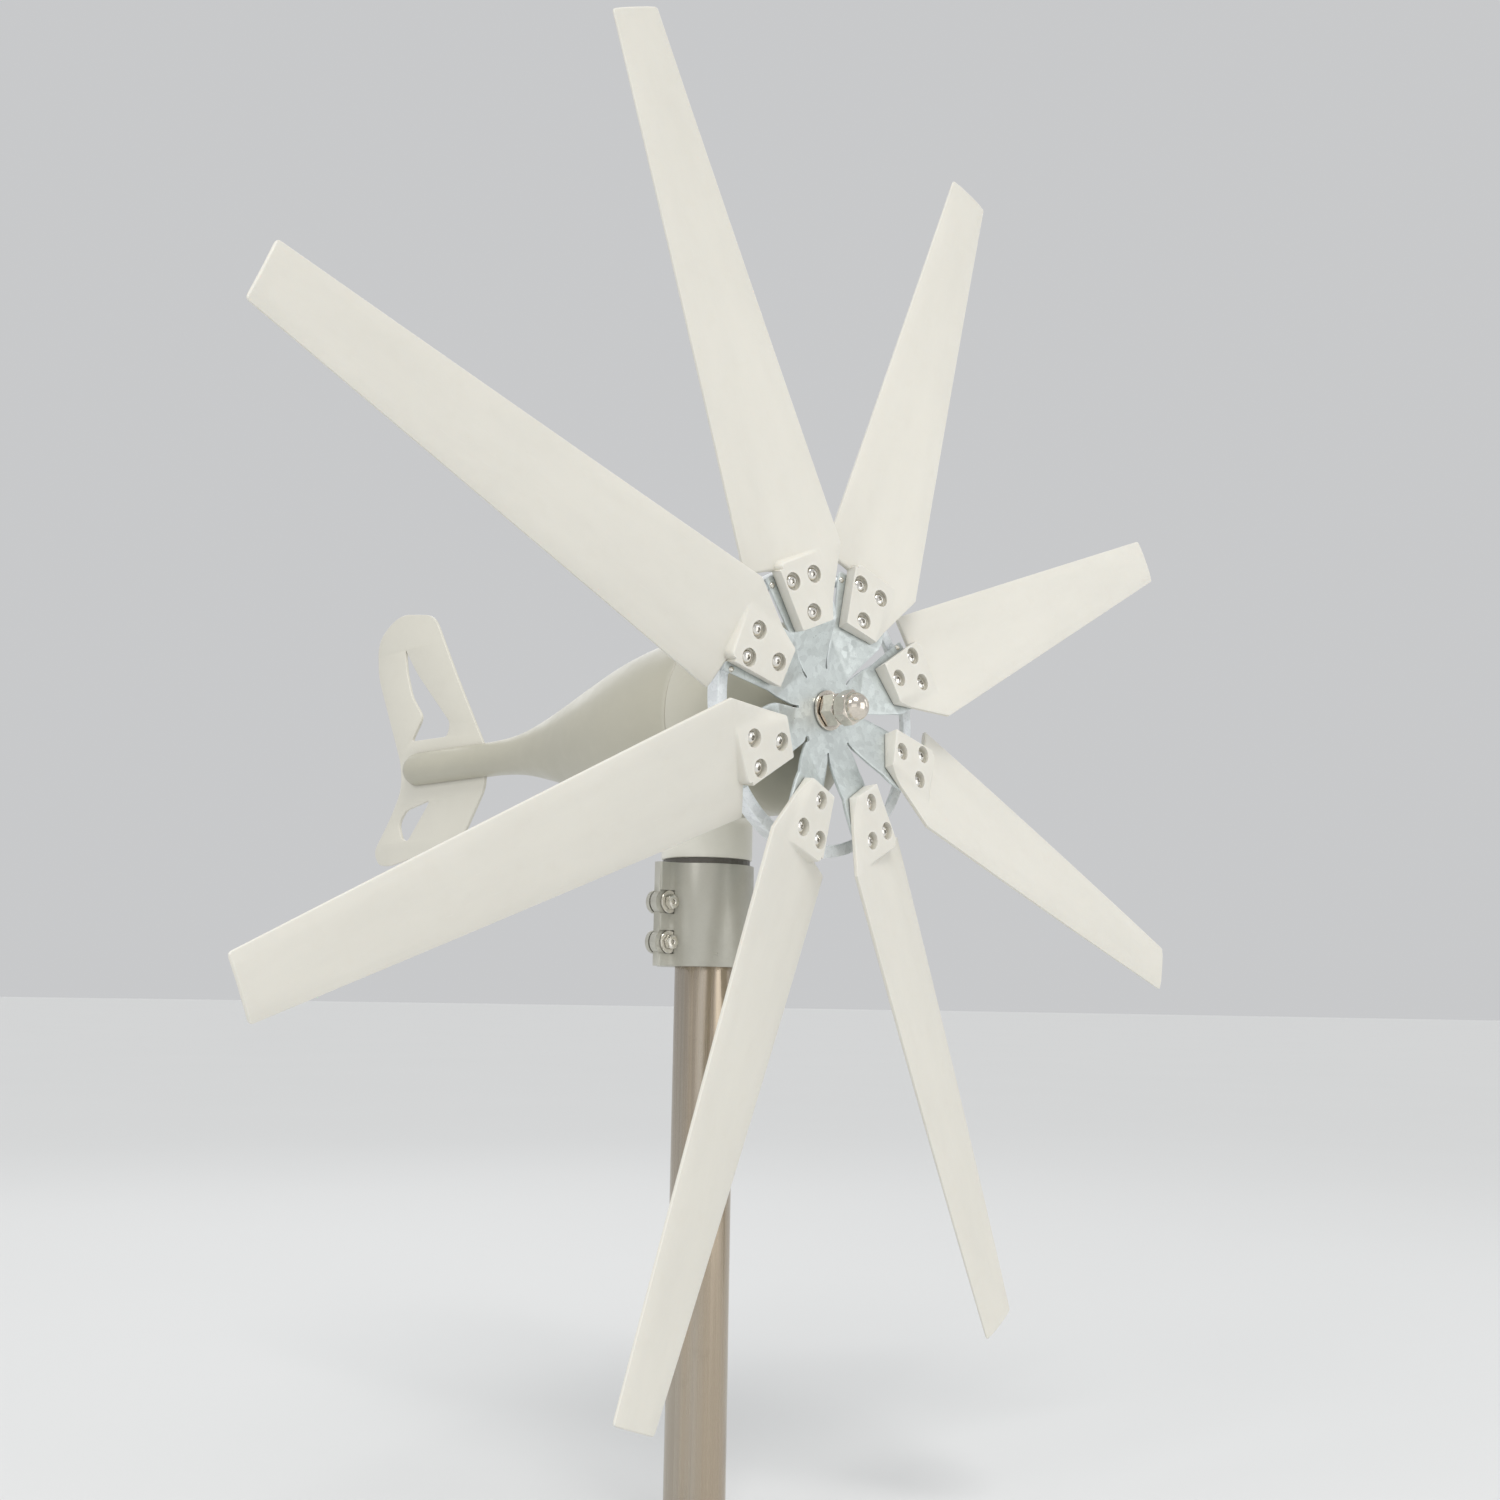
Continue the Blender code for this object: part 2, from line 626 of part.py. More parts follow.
# The magnet rotor is a hub with a rim of sixteen blocks.
magnet_profile = []
for number in range(16):
    for part, reach in ((-0.42, 0.0405), (0.42, 0.0405), (0.46, 0.037), (0.54, 0.037)):
        turn = 2 * pi * (number + part) / 16
        magnet_profile.append((reach * cos(turn), reach * sin(turn)))
magnet_bore = []
for step in range(16):
    turn = -2 * pi * step / 16
    magnet_bore.append((0.0128 * cos(turn), 0.0128 * sin(turn)))
magnet_rotor = prism(
    "magnet_rotor", magnet_profile, STATOR_FRONT - STATOR_REAR, rotor_axis, ((0.20, 0.20, 0.21), 0.8, 0.4), [magnet_bore]
)
magnet_rotor.location = (0, 0, (STATOR_FRONT + STATOR_REAR) / 2)


def circle(radius, count, reverse=False):
    turns = [2 * pi * i / count * (-1 if reverse else 1) for i in range(count)]
    return [(radius * cos(turn), radius * sin(turn)) for turn in turns]


SLOT_COUNT = 12
slot_loops = []
for number in range(SLOT_COUNT):
    turn = 2 * pi * number / SLOT_COUNT
    loop = []
    for x, y in ((0.046, -0.0050), (0.066, -0.0072), (0.066, 0.0072), (0.046, 0.0050)):
        loop.append((x * cos(turn) - y * sin(turn), x * sin(turn) + y * cos(turn)))
    slot_loops.append(loop)
stator_core = prism(
    "stator_core",
    circle(BORE_RADIUS - 0.0006, 36),
    STATOR_FRONT - STATOR_REAR,
    generator_axis,
    ((0.25, 0.25, 0.26), 0.8, 0.5),
    [circle(0.0414, 24, reverse=True), *slot_loops],
)
stator_core.location = (0, 0, (STATOR_FRONT + STATOR_REAR) / 2)

# The winding fills every slot and joins into a turned bundle at each end.
COPPER = ((0.55, 0.25, 0.11), 0.9, 0.35)
end_turns = [(0.066, -0.0602), (0.066, STATOR_FRONT + 0.0004), (0.046, STATOR_FRONT + 0.0004), (0.046, -0.0602)]
stator_winding = turned("stator_winding", end_turns, generator_axis, COPPER, 24)
rear_turns = [(0.066, STATOR_REAR - 0.0004), (0.066, -0.1162), (0.046, -0.1162), (0.046, STATOR_REAR - 0.0004)]
rear_bundle = make_cutter(turned("winding_rear", rear_turns, generator_axis, COPPER, 24))
boolean(stator_winding, rear_bundle, "UNION")
for number in range(SLOT_COUNT):
    turn = 2 * pi * number / SLOT_COUNT
    low = (0.0464, -0.0042, STATOR_REAR - 0.003)
    bar = place(
        f"winding_bar_{number}",
        block_mesh(f"winding_bar_{number}", low, (0.0652, 0.0042, STATOR_FRONT + 0.003)),
        generator_axis,
        *COPPER,
        rotation=(0, 0, turn),
    )
    boolean(stator_winding, make_cutter(bar), "UNION")

paint_look = (PAINT, 0.1, 0.42)
housing_points = [
    (0.0180, HOUSING_FRONT + 0.0005),
    (0.0300, HOUSING_FRONT),
    (0.0700, HOUSING_FRONT - 0.0080),
    (0.0880, HOUSING_FRONT - 0.0150),
    (HOUSING_RADIUS, HOUSING_FRONT - 0.0280),
    (HOUSING_RADIUS, SEAM + 0.0002),
    (BORE_RADIUS, SEAM + 0.0002),
    (BORE_RADIUS, -0.0590),
    (0.0760, -0.0510),
    (0.0360, -0.0440),
    (0.0310, -0.0580),
    (0.0261, -0.0580),
    (0.0261, -0.0400),
    (0.0180, -0.0400),
]
front_housing = turned("front_housing", housing_points, generator_axis, paint_look, 32)

# ---- Nacelle: a turned shell that tapers into the tail boom, with a bulkhead for the rear bearing ------------------
nacelle_outer = (
    (HOUSING_RADIUS, SEAM - 0.0002),
    (0.0956, -0.155),
    (0.0925, -0.190),
    (0.0830, -0.242),
    (0.0670, -0.300),
    (0.0480, -0.362),
    (0.0330, -0.416),
    (0.0240, -0.460),
    (BOOM_RADIUS, -0.505),
    (BOOM_RADIUS, BOOM_END + 0.012),
    (0.0175, BOOM_END + 0.004),
    (0.0100, BOOM_END + 0.0006),
)
nacelle_inner = (
    (0.0125, -0.512),
    (0.0160, -0.460),
    (0.0590, -0.300),
    (0.0760, -0.242),
    (0.0870, -0.190),
    (0.0890, -0.146),
    (0.0300, -0.146),
    (0.0300, -0.1385),
    (0.0180, -0.1385),
    (0.0180, -0.1380),
    (0.0261, -0.1380),
    (0.0261, -0.1215),
    (0.0380, -0.1215),
    (0.0440, -0.1300),
    (0.0880, -0.1300),
    (0.0880, SEAM - 0.0002),
)
# The boom's bore runs out of the rear end, so the hollow stays open.
tail_bore = ((0.0060, BOOM_END), (0.0060, -0.516))
nacelle_points = [*nacelle_outer, *tail_bore, *nacelle_inner]
nacelle_body = turned("nacelle_body", nacelle_points, generator_axis, paint_look, 32)

# The tail fin is cut from flat plate and sits in a slot sawn into the boom.
fin_outline = rounded(
    [
        (-0.533, 0.012),
        (-0.549, 0.036),
        (-0.593, 0.102),
        (-0.628, 0.158),
        (-0.650, 0.194),
        (-0.726, 0.206),
        (-0.772, 0.178),
        (-0.766, 0.128),
        (-0.706, 0.008),
        (-0.703, -0.022),
        (-0.722, -0.055),
        (-0.757, -0.098),
        (-0.746, -0.116),
        (-0.722, -0.118),
        (-0.575, -0.094),
        (-0.533, -0.034),
    ],
    0.014,
    3,
)
upper_cut = [
    (-0.709, 0.158),
    (-0.704, 0.128),
    (-0.690, 0.094),
    (-0.664, 0.066),
    (-0.686, 0.037),
    (-0.612, 0.036),
    (-0.606, 0.052),
    (-0.640, 0.084),
    (-0.680, 0.122),
]
lower_cut = [(-0.640, -0.040), (-0.692, -0.050), (-0.706, -0.066), (-0.697, -0.086), (-0.684, -0.088)]


def in_fin_plane(points):
    """From distances along the rotor axis and heights to the generator frame's XY plane."""
    return [(-height, along) for along, height in points]


fin_loops = [in_fin_plane(loop) for loop in (fin_outline, rounded(upper_cut, 0.004, 2), rounded(lower_cut, 0.006, 2))]
tail_fin = prism("tail_fin", fin_loops[0], FIN_THICKNESS, generator_axis, (PAINT, 0.05, 0.45), fin_loops[1:])
# The outline is drawn in XY and stands up into the XZ plane of the generator frame.
tail_fin.rotation_euler = (pi / 2, 0, 0)

slot_low = (-0.03, -FIN_THICKNESS / 2 - GAP, BOOM_END - 0.01)
fin_slot = place(
    "fin_slot",
    block_mesh("fin_slot", slot_low, (0.03, FIN_THICKNESS / 2 + GAP, -0.5320)),
    generator_axis,
    *paint_look,
)
boolean(nacelle_body, make_cutter(fin_slot))

# ---- Yaw neck: a housing saddled under the nacelle, with a ball bearing and a bush on the spindle -------------------
neck_points = [
    (NECK_RADIUS, -0.060),
    (NECK_RADIUS, NECK_BOTTOM + 0.001),
    (NECK_RADIUS - 0.001, NECK_BOTTOM),
    (0.0315, NECK_BOTTOM),
    (0.0315, -0.1215),
    (0.0270, -0.1215),
    (0.0270, -0.1010),
    (0.0140, -0.1010),
    (0.0140, -0.060),
]
yaw_housing = turned("yaw_housing", neck_points, yaw_axis, paint_look, 32)
saddle = [(radius + GAP * 1.4, along) for radius, along in nacelle_outer[:4]]
saddle_points = [(0, -0.08), (saddle[0][0], -0.08), *saddle, (0, saddle[-1][1])]
saddle_cutter = make_cutter(turned("saddle_cutter", saddle_points, generator_axis, paint_look, 36, closed=False))
boolean(yaw_housing, saddle_cutter)

cable_hole = rod("nacelle_cable_hole", 0.0138, -0.12, -0.04, yaw_axis, 20)
boolean(nacelle_body, cable_hole)

race_look = ((0.55, 0.54, 0.52), 1.0, 0.25)
ring("yaw_bearing_outer", 0.0275, 0.0311, -0.1355, -0.1225, yaw_axis, race_look, 24)
ring("yaw_bearing_inner", 0.0204, 0.0240, -0.1355, -0.1225, mast_frame, race_look, 24).location = (0, 0, HUB_HEIGHT)
ring("yaw_bush", 0.0206, 0.0266, -0.1205, -0.1030, yaw_axis, ((0.45, 0.33, 0.14), 0.9, 0.35), 24)


def fixed(obj):
    """Stands a piece that is drawn below the rotor axis on the mast frame."""
    obj.parent = mast_frame
    obj.location = (0, 0, HUB_HEIGHT)
    return obj


spindle_points = [
    (0.0200, -0.1025),
    (0.0200, -0.1360),
    (0.0212, -0.1370),
    (0.0212, -0.1430),
    (0.0300, -0.1430),
    (0.0300, -0.1595),
    (0.0100, -0.1595),
    (0.0100, -0.1025),
]
fixed(turned("yaw_spindle", spindle_points, mast_frame, (STEEL, 1.0, 0.35), 28))
fixed(ring("yaw_seal", 0.0216, 0.0440, -0.1426, -0.1374, mast_frame, ((0.08, 0.08, 0.085), 0.0, 0.6), 32))

slip_points = [
    (0.0125, -0.0600),
    (0.0125, -0.0840),
    (0.0110, -0.0850),
    (0.0110, -0.1020),
    (0.0080, -0.1021),
    (0.0080, -0.1080),
    (0.0040, -0.1080),
    (0.0040, -0.0600),
]
fixed(turned("slip_ring", slip_points, mast_frame, ((0.45, 0.30, 0.10), 0.9, 0.3), 20))

brush_mesh = block_mesh("brush_block", (-0.0290, -0.010, -0.0835), (-0.0132, 0.010, -0.0640))
place("brush_block", brush_mesh, yaw_axis, (0.06, 0.06, 0.06), 0.0, 0.6)

# ---- Split clamp on the mast ------------------------------------------------------------------------------------
grey_look = (GREY, 0.4, 0.45)
sleeve_points = [
    (SLEEVE_RADIUS - 0.0015, SLEEVE_TOP),
    (SLEEVE_RADIUS, SLEEVE_TOP - 0.0015),
    (SLEEVE_RADIUS, SLEEVE_BOTTOM + 0.001),
    (SLEEVE_RADIUS - 0.001, SLEEVE_BOTTOM),
    (MAST_RADIUS + GAP, SLEEVE_BOTTOM),
    (MAST_RADIUS + GAP, SLEEVE_TOP),
]
mast_clamp = fixed(turned("mast_clamp", sleeve_points, mast_frame, grey_look, 36))
ear_block = block_mesh(
    "clamp_ears",
    (-EAR_THICKNESS - SLIT / 2, -EAR_REACH, SLEEVE_BOTTOM + 0.0005),
    (EAR_THICKNESS + SLIT / 2, -0.035, SLEEVE_TOP - 0.004),
)
clamp_ears = fixed(make_cutter(place("clamp_ears", ear_block, mast_frame, *grey_look)))
boolean(mast_clamp, clamp_ears, "UNION")
for number, level in enumerate(CLAMP_BOLT_LEVELS):
    boss_name = f"clamp_boss_{number}"
    boss = rod(boss_name, 0.0125, -EAR_THICKNESS - SLIT / 2 - 0.004, EAR_THICKNESS + SLIT / 2, mast_frame, 20)
    boss.location = (0, -CLAMP_BOLT_REACH - 0.006, HUB_HEIGHT + level)
    boss.rotation_euler = (0, pi / 2, 0)
    boolean(mast_clamp, boss, "UNION")
slit_block = block_mesh("clamp_slit", (-SLIT / 2, -0.1, SLEEVE_BOTTOM - 0.01), (SLIT / 2, -0.02, SLEEVE_TOP + 0.01))
boolean(mast_clamp, fixed(make_cutter(place("clamp_slit", slit_block, mast_frame, *grey_look))))

clamp_bolt = bolt_mesh(
    "clamp_bolt",
    [
        (-0.0262, 0.0038),
        (-0.0226, 0.0040),
        (-0.0225, hexagon(0.013)),
        (-0.0157, hexagon(0.013)),
        (-0.0156, 0.0040),
        (0.0113, 0.0040),
        (0.0114, 0.0085),
        (0.0128, 0.0085),
        (0.0129, hexagon(0.013)),
        (0.0180, hexagon(0.013)),
        (0.0186, 0.0056),
    ],
)
smooth(clamp_bolt, 40)
for label, level in zip(("upper", "lower"), CLAMP_BOLT_LEVELS):
    spot_at = (0, -CLAMP_BOLT_REACH, HUB_HEIGHT + level)
    hole = rod(f"clamp_hole_{label}", 0.0044, -0.04, 0.04, mast_frame, 12)
    hole.location = spot_at
    hole.rotation_euler = (0, pi / 2, 0)
    boolean(mast_clamp, hole)
    place(f"clamp_bolt_{label}", clamp_bolt, mast_frame, STEEL, 1.0, 0.25, spot_at, (0, pi / 2, 0))

mast_points = [
    (MAST_RADIUS, HUB_HEIGHT + MAST_TOP),
    (MAST_RADIUS, 0),
    (MAST_RADIUS - MAST_WALL, 0),
    (MAST_RADIUS - MAST_WALL, HUB_HEIGHT + MAST_TOP),
]
turned("mast", mast_points, mast_frame, (STEEL, 1.0, 0.3), 36)
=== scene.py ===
"""Looks of the small horizontal-axis wind generator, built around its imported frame.

Metres, +Z up. A blade's own frame has X out along the radius, Y towards the trailing side and Z forward.
"""

import json
from math import asin, cos, pi, radians, sin, sqrt

import bmesh
import bpy
from mathutils import Matrix, Vector

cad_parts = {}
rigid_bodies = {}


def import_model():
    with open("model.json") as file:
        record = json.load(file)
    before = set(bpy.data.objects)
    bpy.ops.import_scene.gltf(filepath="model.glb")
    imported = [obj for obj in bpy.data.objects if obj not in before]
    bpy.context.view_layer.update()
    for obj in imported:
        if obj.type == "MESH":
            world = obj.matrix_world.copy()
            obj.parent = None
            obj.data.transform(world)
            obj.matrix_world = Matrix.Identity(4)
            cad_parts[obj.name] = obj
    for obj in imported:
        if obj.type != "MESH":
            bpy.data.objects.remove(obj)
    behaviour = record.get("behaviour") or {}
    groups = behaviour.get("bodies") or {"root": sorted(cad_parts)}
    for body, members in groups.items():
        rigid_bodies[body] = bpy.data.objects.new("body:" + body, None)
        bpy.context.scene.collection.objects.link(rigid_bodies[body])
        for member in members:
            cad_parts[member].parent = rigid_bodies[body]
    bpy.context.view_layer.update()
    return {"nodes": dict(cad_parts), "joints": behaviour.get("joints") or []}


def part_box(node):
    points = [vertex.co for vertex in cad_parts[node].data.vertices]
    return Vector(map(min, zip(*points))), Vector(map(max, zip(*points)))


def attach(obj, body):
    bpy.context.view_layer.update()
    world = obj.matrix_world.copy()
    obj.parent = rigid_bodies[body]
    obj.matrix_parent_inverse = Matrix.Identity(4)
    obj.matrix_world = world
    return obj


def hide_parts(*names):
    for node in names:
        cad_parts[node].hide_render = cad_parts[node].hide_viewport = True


for old in list(bpy.data.objects):
    bpy.data.objects.remove(old, do_unlink=True)

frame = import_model()
JOINTS = {joint["name"]: joint for joint in frame["joints"]}
HUB = Vector(JOINTS["rotor_spin"]["pos_m"])  # centre of the hub plate's front face
AXIS_HEIGHT = HUB.z
OVERHANG = HUB.x
GAP = 0.0003  # air between pieces that are held together

# ---- Blade and hub dimensions ----
BLADE_COUNT = 8
FIRST_BLADE_ANGLE = radians(160)
TIP_RADIUS = 0.660
ROOT_RADIUS = 0.083
SHOULDER_RADIUS = 0.150
STEP_RADIUS = 0.1435
ROOT_LEADING = -0.021
ROOT_TRAILING = 0.019
STEP_TRAILING = 0.026
SHOULDER_HALF_CHORD = 0.057
TIP_HALF_CHORD = 0.0265
ROOT_PITCH = radians(16)
TIP_PITCH = radians(6)
BLADE_THICKNESS = 0.005
TIP_THICKNESS = 0.0032
TIP_SWEEP = 0.006
TIP_FORWARD = 0.002
TIP_CORNER = 0.0035
EDGE_ROUND = 0.0009
PAD_HEIGHT = 0.011
PAD_FACE = BLADE_THICKNESS / 2 + PAD_HEIGHT
PAD_OUTER_RADIUS = 0.152
PAD_ROOT_SLOPE = 0.12
PAD_OUTER_SLOPE = 0.20
BLADE_BOLTS = ((0.096, 0.0), (0.130, -0.014), (0.130, 0.014))
FOLD_OFFSET = 0.028
PLATE_THICKNESS = 0.003
DISC_RADIUS = 0.044
SHAFT_HOLE_RADIUS = 0.0105
ROOT_RISE = FOLD_OFFSET * sin(ROOT_PITCH) + GAP + BLADE_THICKNESS / 2

# M8 bolts hold the blades and close the clamp.
BOLT_RADIUS = 0.0040
BOLT_HOLE_RADIUS = 0.0044
ARM_HOLE_RADIUS = 0.0047
NUT_FLATS = 0.013
NUT_BORE = 0.00405
NUT_SEAT = -BLADE_THICKNESS / 2 - GAP - PLATE_THICKNESS - GAP  # behind a blade's middle surface
RECESS_DEPTH = 0.0050
RECESS_RADIUS = 0.0086
HEAD_RADIUS = 0.0062
HEAD_HEIGHT = 0.0036


def smoothstep(low, high, value):
    t = min(1.0, max(0.0, (value - low) / (high - low)))
    return t * t * (3 - 2 * t)


def mix(low, high, t):
    return low + (high - low) * t


# ---- Mesh helpers ----
def put(name, data):
    """An object for the data, linked into the scene."""
    made = bpy.data.objects.new(name, data)
    bpy.context.scene.collection.objects.link(made)
    return made


def add_object(name, mesh, body, surface, replaced=(), matrix=None, sharp=35):
    """Puts one finished piece in the scene, riding on its body."""
    mesh.shade_smooth()
    mesh.set_sharp_from_angle(angle=radians(sharp))
    mesh.materials.clear()
    mesh.materials.append(surface)
    piece = put(name, mesh)
    if matrix is not None:
        piece.matrix_world = matrix
    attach(piece, body)
    if replaced:
        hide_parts(*replaced)


def finish_mesh(bm, name, merge=0.000002):
    bmesh.ops.remove_doubles(bm, verts=bm.verts, dist=merge)
    bmesh.ops.dissolve_degenerate(bm, edges=bm.edges, dist=merge)
    bmesh.ops.recalc_face_normals(bm, faces=bm.faces)
    if bm.calc_volume(signed=True) < 0:
        bmesh.ops.reverse_faces(bm, faces=bm.faces)
    mesh = bpy.data.meshes.new(name)
    bm.to_mesh(mesh)
    bm.free()
    return mesh


def ring_points(count, radius, height, flats=None):
    """A circle round Z. With flats, a hexagon of that width whose corners are cut to the circle."""
    points = []
    for i in range(count):
        turn = 2 * pi * i / count
        reach = min(flats / 2 / cos((turn % (pi / 3)) - pi / 6), radius) if flats else radius
        points.append((reach * cos(turn), reach * sin(turn), height))
    return points


def skin(name, rings, loop=False):
    """A surface through rings of equal point counts, with its ends capped or joined to each other."""
    bm = bmesh.new()
    rows = [[bm.verts.new(point) for point in ring] for ring in rings]
    count = len(rows[0])
    for lower, upper in zip(rows, rows[1:] + rows[:1] if loop else rows[1:]):
        for i in range(count):
            j = (i + 1) % count
            bm.faces.new((lower[i], lower[j], upper[j], upper[i]))
    if not loop:
        bm.faces.new(rows[0][::-1])
        bm.faces.new(rows[-1])
    return finish_mesh(bm, name)


def lathe(name, profile, segments=96, closed=True):
    """(radius, height) points swept round Z. A closed profile is a loop in section; an open one ends on the axis."""
    return skin(name, [ring_points(segments, radius, height) for radius, height in profile], closed)


def eased(outline, radius, steps=3, most=0.45):
    """A closed outline with its corners rounded off. A corner's third value is a radius of its own."""
    points = []
    for i, corner in enumerate(outline):
        before, here, after = (Vector(outline[k % len(outline)][:2]) for k in (i - 1, i, i + 1))
        wanted = corner[2] if len(corner) > 2 else radius
        reach = min(wanted, (before - here).length * most, (after - here).length * most)
        start, end = (here + (side - here).normalized() * reach for side in (before, after))
        for k in range(steps + 1):
            t = k / steps
            points.append(tuple(start * (1 - t) ** 2 + here * (2 * t * (1 - t)) + end * t**2))
    return points


def smooth_curve(points, per_span=5):
    """Catmull-Rom through the points."""
    knots = [Vector(p) for p in points]
    knots = [knots[0] * 2 - knots[1], *knots, knots[-1] * 2 - knots[-2]]
    result = []
    for a, b, c, d in zip(knots, knots[1:], knots[2:], knots[3:]):
        for k in range(per_span):
            t = k / per_span
            point = (b * 2 + (c - a) * t + (a * 2 - b * 5 + c * 4 - d) * t**2 + (b * 3 - a - c * 3 + d) * t**3) / 2
            result.append(tuple(point))
    result.append(tuple(knots[-2]))
    return result


def thickened(bm, name, thickness):
    """Closes an open sheet, seen from its +Z face, into a solid of the given thickness behind that face."""
    bmesh.ops.recalc_face_normals(bm, faces=bm.faces)
    if sum(face.normal.z for face in bm.faces) < 0:
        bmesh.ops.reverse_faces(bm, faces=bm.faces)
    bm.normal_update()
    back = {vert: bm.verts.new(vert.co - vert.normal * thickness) for vert in list(bm.verts)}
    walls = []
    for loop in [edge.link_loops[0] for edge in bm.edges if edge.is_boundary]:
        first, second = loop.vert, loop.link_loop_next.vert
        walls.append((second, first, back[first], back[second]))
    sheet = [[back[corner.vert] for corner in face.loops][::-1] for face in bm.faces]
    for corners in sheet + walls:
        bm.faces.new(corners)
    return finish_mesh(bm, name)


def rods(name, radius, low, high, segments, *matrices):
    """A mesh with one cylinder for each matrix, which places it from the Z axis."""
    bm = bmesh.new()
    size = {"segments": segments, "radius1": radius, "radius2": radius, "depth": high - low}
    for matrix in matrices:
        made = bmesh.ops.create_cone(bm, cap_ends=True, **size)
        bmesh.ops.translate(bm, verts=made["verts"], vec=(0, 0, (low + high) / 2))
        bmesh.ops.transform(bm, verts=made["verts"], matrix=matrix)
    return finish_mesh(bm, name)


def slab(name, low, high):
    bm = bmesh.new()
    bmesh.ops.create_cube(bm, size=1)
    for vert in bm.verts:
        vert.co = [mix(low[i], high[i], vert.co[i] + 0.5) for i in range(3)]
    return finish_mesh(bm, name)


def baked(source):
    """An object's mesh with its modifiers applied. The object itself is removed."""
    bpy.context.view_layer.update()
    graph = bpy.context.evaluated_depsgraph_get()
    mesh = bpy.data.meshes.new_from_object(source.evaluated_get(graph))
    bpy.data.objects.remove(source, do_unlink=True)
    return mesh


def carved(mesh, cutters, operation="DIFFERENCE"):
    """The mesh after a Boolean with a list of cutter meshes, one at a time."""
    piece = put(mesh.name, mesh)
    helpers = [put("helper", cutter) for cutter in cutters]
    for helper in helpers:
        modifier = piece.modifiers.new("cut", "BOOLEAN")
        modifier.object = helper
        modifier.operation = operation
        modifier.solver = "MANIFOLD"
    result = baked(piece)
    for helper in helpers:
        bpy.data.objects.remove(helper, do_unlink=True)
    return result


def rounded(mesh, width, angle):
    """The mesh with its edges rounded where they are sharper than the angle, in degrees."""
    piece = put("rounded", mesh)
    rounding = piece.modifiers.new("rounding", "BEVEL")
    rounding.width = width
    rounding.segments = 2
    rounding.limit_method = "ANGLE"
    rounding.angle_limit = radians(angle)
    return baked(piece)


def along_x(origin=(0, 0, 0)):
    """Turns a piece drawn along Z so that it runs along +X from the given point, its X axis along +Y."""
    return Matrix.Translation(origin) @ Matrix(((0, 0, 1, 0), (1, 0, 0, 0), (0, 1, 0, 0), (0, 0, 0, 1)))


ROTOR_FRAME = along_x(HUB)
AXIS_LEVEL = Matrix.Translation((0, 0, AXIS_HEIGHT))


def blade_turn(number):
    return Matrix.Rotation(FIRST_BLADE_ANGLE - 2 * pi * number / BLADE_COUNT, 4, "Z")


def blade_frame(number):
    return ROTOR_FRAME @ blade_turn(number)


# ---- Materials ----
def linear(red, green, blue):
    """An sRGB colour of 0 to 255 as the shader's linear colour."""
    result = []
    for value in (red, green, blue):
        value /= 255
        result.append(value / 12.92 if value <= 0.04045 else ((value + 0.055) / 1.055) ** 2.4)
    return (*result, 1.0)


